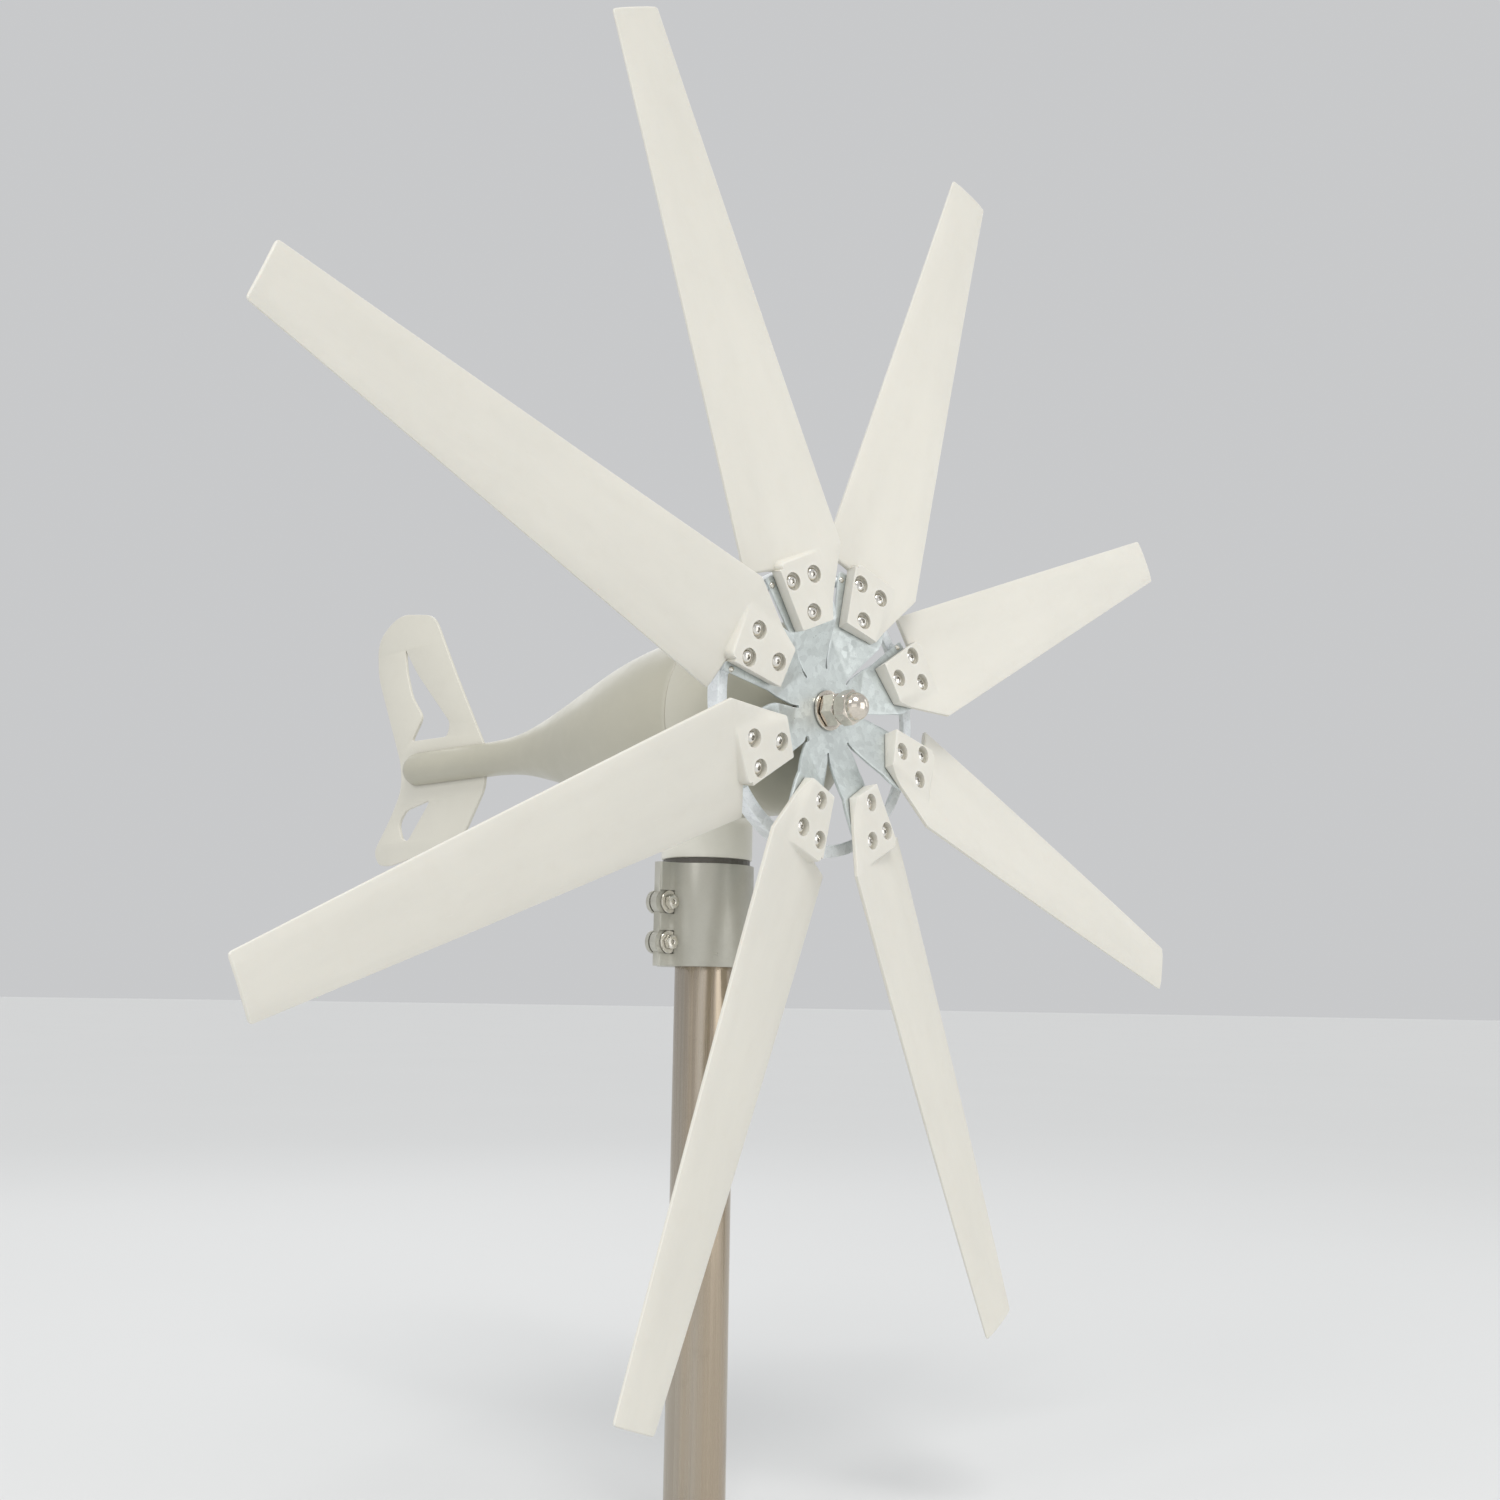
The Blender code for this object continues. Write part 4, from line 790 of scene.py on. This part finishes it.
def build_hub():
    add_object("hub_plate_sheet", hub_plate_mesh(), "rotor", HUB_ZINC, ("hub_plate",), ROTOR_FRAME, 28)
    low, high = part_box("hub_ring")
    rear, outer = low.x - HUB.x, high.y
    profile = [(outer, RING_FACE), (outer, rear), (outer - 0.002, rear), (outer - 0.002, RING_FACE - 0.002)]
    profile += [(outer - 0.012, RING_FACE - 0.002), (outer - 0.012, RING_FACE)]
    hoop = lathe("hub_hoop", eased(profile, 0.0009), 160)
    add_object("hub_hoop", hoop, "rotor", RING_ZINC_BRIGHTENED, ("hub_ring",), ROTOR_FRAME, 40)
    arm_front = arm_rise(RIVET_OFFSET, 0.13)
    top, base = arm_front - PLATE_THICKNESS / cos(ROOT_PITCH) - 0.0006, RING_FACE + 0.0001
    post = [(0, top), (0.0026, top), (0.0036, top - 0.0010), (0.0044, base + 0.0005), (0.0056, base), (0, base)]
    post_mesh = lathe("ring_dimple", post, 32, closed=False)
    rivet = [(0, 0.0017), (0.0011, 0.0016), (0.0021, 0.0012), (0.0028, 0.0005), (0.0030, 0), (0.0015, 0)]
    rivet += [(0.0015, -0.0034), (0, -0.0034)]
    rivet_mesh = lathe("rivet", rivet, 28, closed=False)
    y = RIVET_OFFSET * cos(ROOT_PITCH)
    spot = Matrix.Translation((sqrt(RIVET_RADIUS**2 - y**2) + 0.0004, y, 0))
    lift = Matrix.Translation((0, 0, arm_front)) @ Matrix.Rotation(-ROOT_PITCH, 4, "X")
    for number in range(BLADE_COUNT):
        matrix = blade_frame(number) @ spot
        add_object(f"ring_dimple_{number + 1}", post_mesh, "rotor", RING_ZINC_BRIGHTENED, (), matrix)
        add_object(f"arm_rivet_{number + 1}", rivet_mesh, "rotor", PLATED, (), matrix @ lift)


def build_shaft_end():
    """The washer, the nut and the dome nut at the shaft's front end, at heights above the hub plate's face."""
    washer = [(0.0195, GAP), (0.0195, 0.0031), (SHAFT_HOLE_RADIUS, 0.0031), (SHAFT_HOLE_RADIUS, GAP)]
    washer_mesh = lathe("hub_washer_disc", eased(washer, 0.0006), 96)
    add_object("hub_washer_disc", washer_mesh, "rotor", STAINLESS, ("hub_washer",), ROTOR_FRAME)
    flats = 0.030
    nut = hexagon_body("hub_nut_body", flats, 0.0035, 0.0196, SHAFT_HOLE_RADIUS, 96)
    turned = ROTOR_FRAME @ Matrix.Rotation(radians(14), 4, "Z")
    add_object("hub_nut_body", nut, "rotor", STAINLESS, ("hub_nut",), turned, 30)
    count, corner = 96, flats / 2 / cos(pi / 6)
    low, shoulder, dome_radius = 0.0199, 0.0338, 0.0141
    sides = [(mix(0.0145, corner, k / 4), low + 0.0014 * k / 4) for k in range(5)]
    sides += [(mix(corner, 0.0146, k / 4), shoulder - 0.0018 + 0.0016 * k / 4) for k in range(5)]
    crown = [(dome_radius * cos(k * pi / 32), shoulder + 0.0139 * sin(k * pi / 32)) for k in range(16)]
    rings = [ring_points(count, SHAFT_HOLE_RADIUS, height) for height in (0.0390, low)]
    rings += [ring_points(count, *pair, flats) for pair in sides]
    rings += [ring_points(count, *pair) for pair in crown + [(0, shoulder + 0.0140)]]
    turned = ROTOR_FRAME @ Matrix.Rotation(radians(31), 4, "Z")
    dome = skin("dome_nut_body", rings)
    add_object("dome_nut_body", dome, "rotor", STAINLESS, ("dome_nut",), turned, 30)


# ---- Nacelle, front housing and fin ----
# Their profiles are radius and distance along the rotor's axis, from the hub plate's front face.
HOUSING_RADIUS = 0.096
SEAM = -0.126
BORE_RADIUS = 0.0804
BOOM_RADIUS = 0.0205
BOOM_END = -0.690
FIN_THICKNESS = 0.004
NACELLE_LINE = (
    (HOUSING_RADIUS, -0.1272), (0.0956, -0.155), (0.0925, -0.190), (0.0830, -0.242), (0.0670, -0.300),
    (0.0480, -0.362), (0.0330, -0.416), (0.0240, -0.460), (BOOM_RADIUS, -0.505), (BOOM_RADIUS, -0.560),
    (BOOM_RADIUS, BOOM_END + 0.022),
)
NACELLE_CURVE = smooth_curve(NACELLE_LINE)


def nacelle_radius(along):
    """Outer radius of the housing or the nacelle at a distance along the axis."""
    if along >= NACELLE_LINE[0][1]:
        return HOUSING_RADIUS
    for (r0, d0), (r1, d1) in zip(NACELLE_CURVE, NACELLE_CURVE[1:]):
        if d1 <= along <= d0:
            return mix(r0, r1, (d0 - along) / (d0 - d1))
    return BOOM_RADIUS


def build_nacelle():
    outer = [(HOUSING_RADIUS - 0.0012, SEAM - 0.0002), (HOUSING_RADIUS - 0.0004, SEAM - 0.0006)]
    outer += NACELLE_CURVE
    for step in range(1, 9):
        angle = step * pi / 18
        outer.append((BOOM_RADIUS * cos(angle), BOOM_END + 0.022 - 0.0215 * sin(angle)))
    outer += [(0.0066, BOOM_END + 0.0006), (0.0060, BOOM_END + 0.0012), (0.0060, -0.516)]
    inner = [(0.0125, -0.512), (0.0160, -0.460), (0.0590, -0.300), (0.0760, -0.242), (0.0870, -0.190)]
    inner += [(0.0890, -0.146), (0.0300, -0.146), (0.0300, -0.1385), (0.0180, -0.1385), (0.0180, -0.1380)]
    inner += [(0.0261, -0.1380), (0.0261, -0.1215), (0.0380, -0.1215), (0.0440, -0.1300), (0.0880, -0.1300)]
    inner += [(0.0880, SEAM - 0.0002)]
    body = lathe("nacelle_shell", outer + inner, 128)
    half = FIN_THICKNESS / 2 + GAP
    slot = slab("fin_slot", (-0.03, -half, BOOM_END - 0.01), (0.03, half, -0.5320))
    slot.transform(Matrix.Rotation(pi / 2, 4, "Z"))
    spot = Matrix.Translation((0, -0.08, -OVERHANG)) @ Matrix.Rotation(pi / 2, 4, "X")
    body = carved(body, [slot, rods("cable_hole", 0.0138, -0.04, 0.04, 40, spot)])
    add_object("nacelle_shell", body, "nacelle", PAINT, ("nacelle_body",), ROTOR_FRAME, 30)
    nose = [(0.0180, -0.0295), (0.0300, -0.0300), (0.0520, -0.0330), (0.0700, -0.0380), (0.0830, -0.0440)]
    nose += [(0.0915, -0.0510), (0.0953, -0.0580), (HOUSING_RADIUS, -0.0660)]
    front = smooth_curve(nose) + [(HOUSING_RADIUS, SEAM + 0.0008), (HOUSING_RADIUS - 0.0010, SEAM + 0.0002)]
    front += [(BORE_RADIUS, SEAM + 0.0002), (BORE_RADIUS, -0.0590), (0.0760, -0.0510), (0.0360, -0.0440)]
    front += [(0.0310, -0.0580), (0.0261, -0.0580), (0.0261, -0.0400), (0.0180, -0.0400)]
    shell = lathe("front_housing_shell", front, 128)
    add_object("front_housing_shell", shell, "nacelle", PAINT, ("front_housing",), ROTOR_FRAME, 30)


def flat_plate(name, loops, thickness, bevel):
    """A flat piece in the XY plane with rounded edges, from an outline and its windows."""
    curve = bpy.data.curves.new(name, "CURVE")
    curve.dimensions = "2D"
    curve.fill_mode = "BOTH"
    curve.extrude = thickness / 2 - bevel
    curve.bevel_depth = bevel
    curve.bevel_resolution = 2
    curve.offset = -bevel
    for loop in loops:
        spline = curve.splines.new("POLY")
        spline.points.add(len(loop) - 1)
        for point, place in zip(spline.points, loop):
            point.co = (place[0], place[1], 0, 1)
        spline.use_cyclic_u = True
    bm = bmesh.new()
    bm.from_mesh(baked(put(name, curve)))
    return finish_mesh(bm, name, 0.00001)


def build_fin():
    """The fin, drawn by distance along the rotor's axis and height above it."""
    outline = [
        (-0.533, 0.012, 0.006), (-0.549, 0.036), (-0.593, 0.102), (-0.628, 0.158), (-0.650, 0.194, 0.020),
        (-0.726, 0.206, 0.024), (-0.772, 0.178, 0.026), (-0.766, 0.128), (-0.706, 0.008), (-0.703, -0.022),
        (-0.722, -0.055), (-0.757, -0.098, 0.016), (-0.746, -0.116, 0.012), (-0.722, -0.118),
        (-0.575, -0.094, 0.020), (-0.533, -0.034, 0.012),
    ]
    upper = [
        (-0.709, 0.158, 0.004), (-0.704, 0.128), (-0.690, 0.094), (-0.664, 0.066), (-0.686, 0.037, 0.006),
        (-0.612, 0.036, 0.006), (-0.606, 0.052), (-0.640, 0.084), (-0.680, 0.122),
    ]
    lower = [(-0.640, -0.040), (-0.692, -0.050), (-0.706, -0.066), (-0.697, -0.086), (-0.684, -0.088, 0.004)]
    loops = [eased(loop, radius, 8, 0.46) for loop, radius in ((outline, 0.016), (upper, 0.010), (lower, 0.009))]
    plate = flat_plate("tail_fin_plate", loops, FIN_THICKNESS, 0.0008)
    # The plate is drawn flat, then stood up so that its X runs forward and its Y up.
    stand = Matrix.Translation((OVERHANG, 0, AXIS_HEIGHT)) @ Matrix.Rotation(pi / 2, 4, "X")
    add_object("tail_fin_plate", plate, "nacelle", FIN_PAINT, ("tail_fin",), stand, 40)


# ---- Yaw neck, clamp and mast, at heights from the rotor's axis ----
NECK_RADIUS = 0.046
NECK_BOTTOM = -0.137
NECK_FLARE = 0.007
SLEEVE_RADIUS = 0.048
SLEEVE_TOP = -0.143
SLEEVE_BOTTOM = -0.244
MAST_RADIUS = 0.030
MAST_WALL = 0.003
SLIT = 0.004
# Each ear: its outer face's distance from the slit's middle, its reach, the blend into the sleeve and how far
# out its lobes' centres are.
FRONT_EAR = (0.0112, 0.0735, 0.026, 0.0670)
REAR_EAR = (0.0068, 0.0665, 0.012, 0.0650)
LOBE_RADIUS = 0.0115
POCKET_FLOOR = 0.0099
POCKET_END = 0.0055  # beyond the bolt's axis, towards the sleeve
CLAMP_BOLT_LEVELS = (-0.182, -0.221)
CLAMP_BOLT_REACH = 0.061


def build_neck():
    """The housing of the yaw bearing, flared at the top where it saddles the nacelle."""
    segments = 128

    def saddle(radius):
        """Heights of the nacelle's underside round a circle."""
        ring = ring_points(segments, radius, 0)
        return [-sqrt(max(0.0, (nacelle_radius(x - OVERHANG) + GAP) ** 2 - y**2)) for x, y, _ in ring]

    def wavy(radius, heights):
        return [(x, y, z) for (x, y, _), z in zip(ring_points(segments, radius, 0), heights)]

    foot = ((0.0315, 0), (NECK_RADIUS - 0.0012, 0), (NECK_RADIUS - 0.0004, 0.0004), (NECK_RADIUS, 0.0012))
    rings = [ring_points(segments, radius, NECK_BOTTOM + lift) for radius, lift in foot]
    flare_start = [z - NECK_FLARE for z in saddle(NECK_RADIUS)]
    flare_end = saddle(NECK_RADIUS + NECK_FLARE)
    for k in range(1, 6):
        rings.append(wavy(NECK_RADIUS, [mix(NECK_BOTTOM + 0.0012, top, k / 5) for top in flare_start]))
    for k in range(1, 8):
        angle = k * pi / 14
        radius = NECK_RADIUS + NECK_FLARE * (1 - cos(angle))
        rings.append(wavy(radius, [mix(low, high, sin(angle)) for low, high in zip(flare_start, flare_end)]))
    for radius in (0.050, 0.046, 0.040, 0.032, 0.024, 0.016, 0.014):
        rings.append(wavy(radius, saddle(radius)))
    for radius, height in ((0.0140, -0.1010), (0.0270, -0.1010), (0.0270, -0.1215), (0.0315, -0.1215)):
        rings.append(ring_points(segments, radius, height))
    neck = skin("yaw_neck", rings, loop=True)
    add_object("yaw_neck", neck, "nacelle", NECK_PAINT_LIGHTENED, ("yaw_housing",), AXIS_LEVEL, 40)


def ear_outline(face, reach, blend):
    """One ear's section in the quarter x > 0, y < 0, and the angle at which its blend meets the sleeve."""
    centre_x = face + blend
    centre_y = sqrt((SLEEVE_RADIUS + blend) ** 2 - centre_x**2)
    meet = asin(centre_y / (SLEEVE_RADIUS + blend))
    points = [(SLIT / 2, -reach), (face - 0.0015, -reach), (face, -reach + 0.0015)]
    for k in range(13):
        turn = pi - meet * k / 12
        points.append((centre_x + blend * cos(turn), -centre_y + blend * sin(turn)))
    return points, meet


def clamp_outline():
    """The clamp's section: a split ring with two ears towards -Y, the front one running smoothly into the ring."""
    points, front_meet = ear_outline(*FRONT_EAR[:3])
    rear, rear_meet = ear_outline(*REAR_EAR[:3])
    for k in range(1, 96):
        turn = mix(-front_meet, pi + rear_meet, k / 96)
        points.append((SLEEVE_RADIUS * cos(turn), SLEEVE_RADIUS * sin(turn)))
    points += [(-x, y) for x, y in rear[::-1]]
    inner = MAST_RADIUS + GAP
    gap_turn = asin(SLIT / 2 / inner)
    for k in range(97):
        turn = mix(-pi / 2 - gap_turn, -5 * pi / 2 + gap_turn, k / 96)
        points.append((inner * cos(turn), inner * sin(turn)))
    return points


def half_moon_washer():
    """A washer with its side towards the sleeve cut straight, drawn along Z with the cut at +X."""
    profile = ((0.01125, 0.0102), (0.01125, 0.0114), (0.0108, 0.0118), (0.0043, 0.0118), (0.0043, 0.0102))
    rings = []
    for radius, height in profile:
        rings.append([(min(x, POCKET_END - 0.0003), y, z) for x, y, z in ring_points(72, radius, height)])
    return skin("clamp_washer", rings, loop=True)


def clamp_mesh():
    outline = clamp_outline()
    mesh = skin("clamp", [[(x, y, z) for x, y in outline] for z in (SLEEVE_BOTTOM, SLEEVE_TOP)])
    lobes, drills = [], []
    quarter = Matrix.Rotation(pi / 2, 4, "Y")
    for level in CLAMP_BOLT_LEVELS:
        for side, (face, _, _, reach) in ((1, FRONT_EAR), (-1, REAR_EAR)):
            low, high = sorted((side * (SLIT / 2 + 0.0001), side * (face - 0.0002)))
            lobes.append(rods("lobe", LOBE_RADIUS, low, high, 64, Matrix.Translation((0, -reach, level)) @ quarter))
        bolt_line = Matrix.Translation((0, -CLAMP_BOLT_REACH, level)) @ quarter
        bores = ((BOLT_HOLE_RADIUS, -0.04, 0.04), (0.0082, POCKET_FLOOR + 0.0002, 0.06), (0.0085, -0.06, -0.0069))
        drills += [rods("bolt_bore", *bore, 48, bolt_line) for bore in bores]
        half = LOBE_RADIUS - 0.0001
        low, high = (POCKET_FLOOR, -0.1, level - half), (0.06, POCKET_END - CLAMP_BOLT_REACH, level + half)
        drills.append(slab("pocket", low, high))
    return rounded(carved(carved(mesh, lobes, "UNION"), drills), 0.0006, 50)


def build_clamp():
    add_object("mast_clamp_casting", clamp_mesh(), "mast", CLAMP_PAINT, ("mast_clamp",), AXIS_LEVEL)
    shank = [(0, 0.0160), (0.00195, 0.0160), (0.00195, 0.0121), (BOLT_RADIUS, 0.0118), (BOLT_RADIUS, -0.0178)]
    shank += [(BOLT_RADIUS - 0.0006, -0.0184), (0, -0.0184)]
    pieces = {
        "head": (hexagon_body("clamp_screw_head", NUT_FLATS, 0.0120, 0.0175, 0.0020, 72, bottom=False), 30),
        "shank": (lathe("clamp_screw_shank", shank, 40, closed=False), 40),
        "washer": (half_moon_washer(), 35),
        "nut": (hexagon_body("clamp_nut", NUT_FLATS, -0.0138, -0.0072, NUT_BORE), 30),
    }
    for label, level, stop in zip(("upper", "lower"), CLAMP_BOLT_LEVELS, (22, -9)):
        name = f"clamp_bolt_{label}"
        straight = along_x((0, -CLAMP_BOLT_REACH, AXIS_HEIGHT + level))
        turned = straight @ Matrix.Rotation(radians(stop), 4, "Z")
        for part, (mesh, sharp) in pieces.items():
            matrix = turned if part in ("head", "nut") else straight
            replaced = (name,) if part == "head" else ()
            add_object(f"{name}_{part}", mesh, "mast", PLATED, replaced, matrix, sharp)
    pip = [(0, 0.0010), (0.0008, 0.0008), (0.0012, 0.0003), (0.0013, -0.0004), (0, -0.0004)]
    turn = radians(-31)
    spot = Vector((SLEEVE_RADIUS * cos(turn), SLEEVE_RADIUS * sin(turn), AXIS_HEIGHT - 0.232))
    matrix = Matrix.Translation(spot) @ Matrix.Rotation(turn, 4, "Z") @ Matrix.Rotation(pi / 2, 4, "Y")
    pip_mesh = lathe("sleeve_pip", pip, 20, closed=False)
    add_object("sleeve_pip", pip_mesh, "mast", CLAMP_PAINT, (), matrix)


def build_mast():
    low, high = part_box("mast")
    inner = MAST_RADIUS - MAST_WALL
    profile = [(MAST_RADIUS, high.z), (MAST_RADIUS, low.z), (inner, low.z), (inner, high.z)]
    tube = lathe("mast_tube", eased(profile, 0.0005), 128)
    add_object("mast_tube", tube, "mast", MAST_STEEL, ("mast",))


# ---- The balls and cages between the bearings' races, and the CAD nodes that stay ----
def build_bearing(name, body, matrix, pitch_radius, ball_radius, count, height):
    bm = bmesh.new()
    for x, y, z in ring_points(count, pitch_radius, height):
        spot = Matrix.Translation((x, y, z))
        bmesh.ops.create_uvsphere(bm, u_segments=16, v_segments=10, radius=ball_radius, matrix=spot)
    balls = finish_mesh(bm, name + "_balls")
    add_object(name + "_balls", balls, body, RACE_STEEL, (), matrix, 60)
    outer, inner = pitch_radius + ball_radius * 0.28, pitch_radius - ball_radius * 0.28
    edge = height + ball_radius * 1.35
    profile = [(outer, edge), (inner, edge), (inner, edge - 0.0006), (outer, edge - 0.0006)]
    add_object(name + "_cage", lathe(name + "_cage", profile, 48), body, BRASS, (), matrix, 40)


def build_bearings():
    for name, middle in (("front_bearing", -0.050), ("rear_bearing", -0.130)):
        build_bearing(name, "rotor", ROTOR_FRAME, 0.01935, 0.0029, 12, middle)
    build_bearing("yaw_bearing", "nacelle", AXIS_LEVEL, 0.02575, 0.00155, 28, -0.129)


CARRIED_OVER = {
    SHAFT_STEEL: ("main_shaft", "yaw_spindle"),
    MAGNET: ("magnet_rotor",),
    LAMINATED: ("stator_core",),
    COPPER: ("stator_winding",),
    RACE_STEEL: [f"{name}_bearing_{race}" for name in ("front", "rear", "yaw") for race in ("outer", "inner")],
    BRONZE: ("yaw_bush",),
    BRASS: ("slip_ring",),
    CARBON: ("brush_block",),
    RUBBER: ("yaw_seal",),
}


def dress_frame():
    """Gives each CAD node that stays its own surface."""
    for surface, names in CARRIED_OVER.items():
        for name in names:
            materials = frame["nodes"][name].data.materials
            materials.clear()
            materials.append(surface)


# ---- Stage, lights and camera ----
FLOOR_RADIUS = 90
CAMERA_PLACE = (1.1616, -1.1577, 0.5261)
CAMERA_YAW = radians(133.625)
CAMERA_PITCH = radians(8.721)
CAMERA_ROLL = radians(0.911)
CAMERA_LENS = 38.81  # millimetres, on a sensor 36 mm wide


def build_stage():
    """A plain pale floor that reaches to the horizon."""
    bm = bmesh.new()
    bmesh.ops.create_circle(bm, cap_ends=True, segments=64, radius=FLOOR_RADIUS)
    bmesh.ops.translate(bm, verts=bm.verts, vec=(0, 0, -0.0005))
    mesh = bpy.data.meshes.new("studio_floor")
    bm.to_mesh(mesh)
    bm.free()
    s = Surface("pale_floor", (224, 225, 225), roughness=0.75, specular=0.2)
    s.shade(s.noise(0.8, 3), 0.995, 1.005)
    mesh.materials.append(s.done())
    put("studio_floor", mesh)


def area_light(name, place, target, size, power, colour=(1, 1, 1)):
    """A rectangular light that faces its target, in watts and metres."""
    data = bpy.data.lights.new(name, "AREA")
    data.shape = "RECTANGLE"
    data.size, data.size_y = size
    data.energy = power
    data.color = colour
    light = put(name, data)
    light.location = place
    light.rotation_euler = (Vector(place) - Vector(target)).to_track_quat("Z", "Y").to_euler()


def build_lights():
    world = bpy.data.worlds.new("studio")
    bpy.context.scene.world = world
    world.use_nodes = True
    background = world.node_tree.nodes["Background"]
    background.inputs["Color"].default_value = (0.965, 0.975, 0.99, 1)
    background.inputs["Strength"].default_value = 0.60
    sun = bpy.data.lights.new("key", "SUN")
    sun.energy = 1.25
    sun.angle = radians(24)
    sun.color = (1.0, 0.985, 0.96)
    put("key", sun).rotation_euler = Vector((0.52, -0.36, 0.78)).to_track_quat("Z", "Y").to_euler()
    head = (0.0, 0.0, 0.75)
    area_light("strip", (3.2, 1.0, 0.8), (0, 0, 0.6), (2.2, 2.8), 20)
    area_light("fill", (1.6, 3.0, 2.0), head, (1.2, 2.0), 6, (0.95, 0.98, 1.0))
    area_light("low", (2.3, -2.7, 0.9), (0, 0, 0.5), (2.5, 1.5), 5)
    area_light("side", (0.2, -3.2, 2.7), head, (1.5, 1.2), 26)
    area_light("back", (-2.6, 1.2, 2.6), head, (2.0, 2.0), 10)


def build_camera():
    """The viewing angle: ahead of the machine and on its -Y side, low, and looking up a little."""
    level = cos(CAMERA_PITCH)
    view = Vector((level * cos(CAMERA_YAW), level * sin(CAMERA_YAW), sin(CAMERA_PITCH)))
    right = view.cross(Vector((0, 0, 1))).normalized()
    up = right.cross(view)
    matrix = Matrix((right, up, -view)).transposed().to_4x4() @ Matrix.Rotation(CAMERA_ROLL, 4, "Z")
    matrix.translation = Vector(CAMERA_PLACE)
    data = bpy.data.cameras.new("camera")
    data.sensor_width = 36
    data.lens = CAMERA_LENS
    data.clip_start = 0.01
    camera = put("camera", data)
    camera.matrix_world = matrix
    bpy.context.scene.camera = camera


build_camera()
build_lights()
build_stage()
build_blades()
build_blade_bolts()
build_hub()
build_shaft_end()
build_nacelle()
build_fin()
build_neck()
build_clamp()
build_mast()
build_bearings()
dress_frame()
bpy.context.scene.view_settings.view_transform = "Standard"
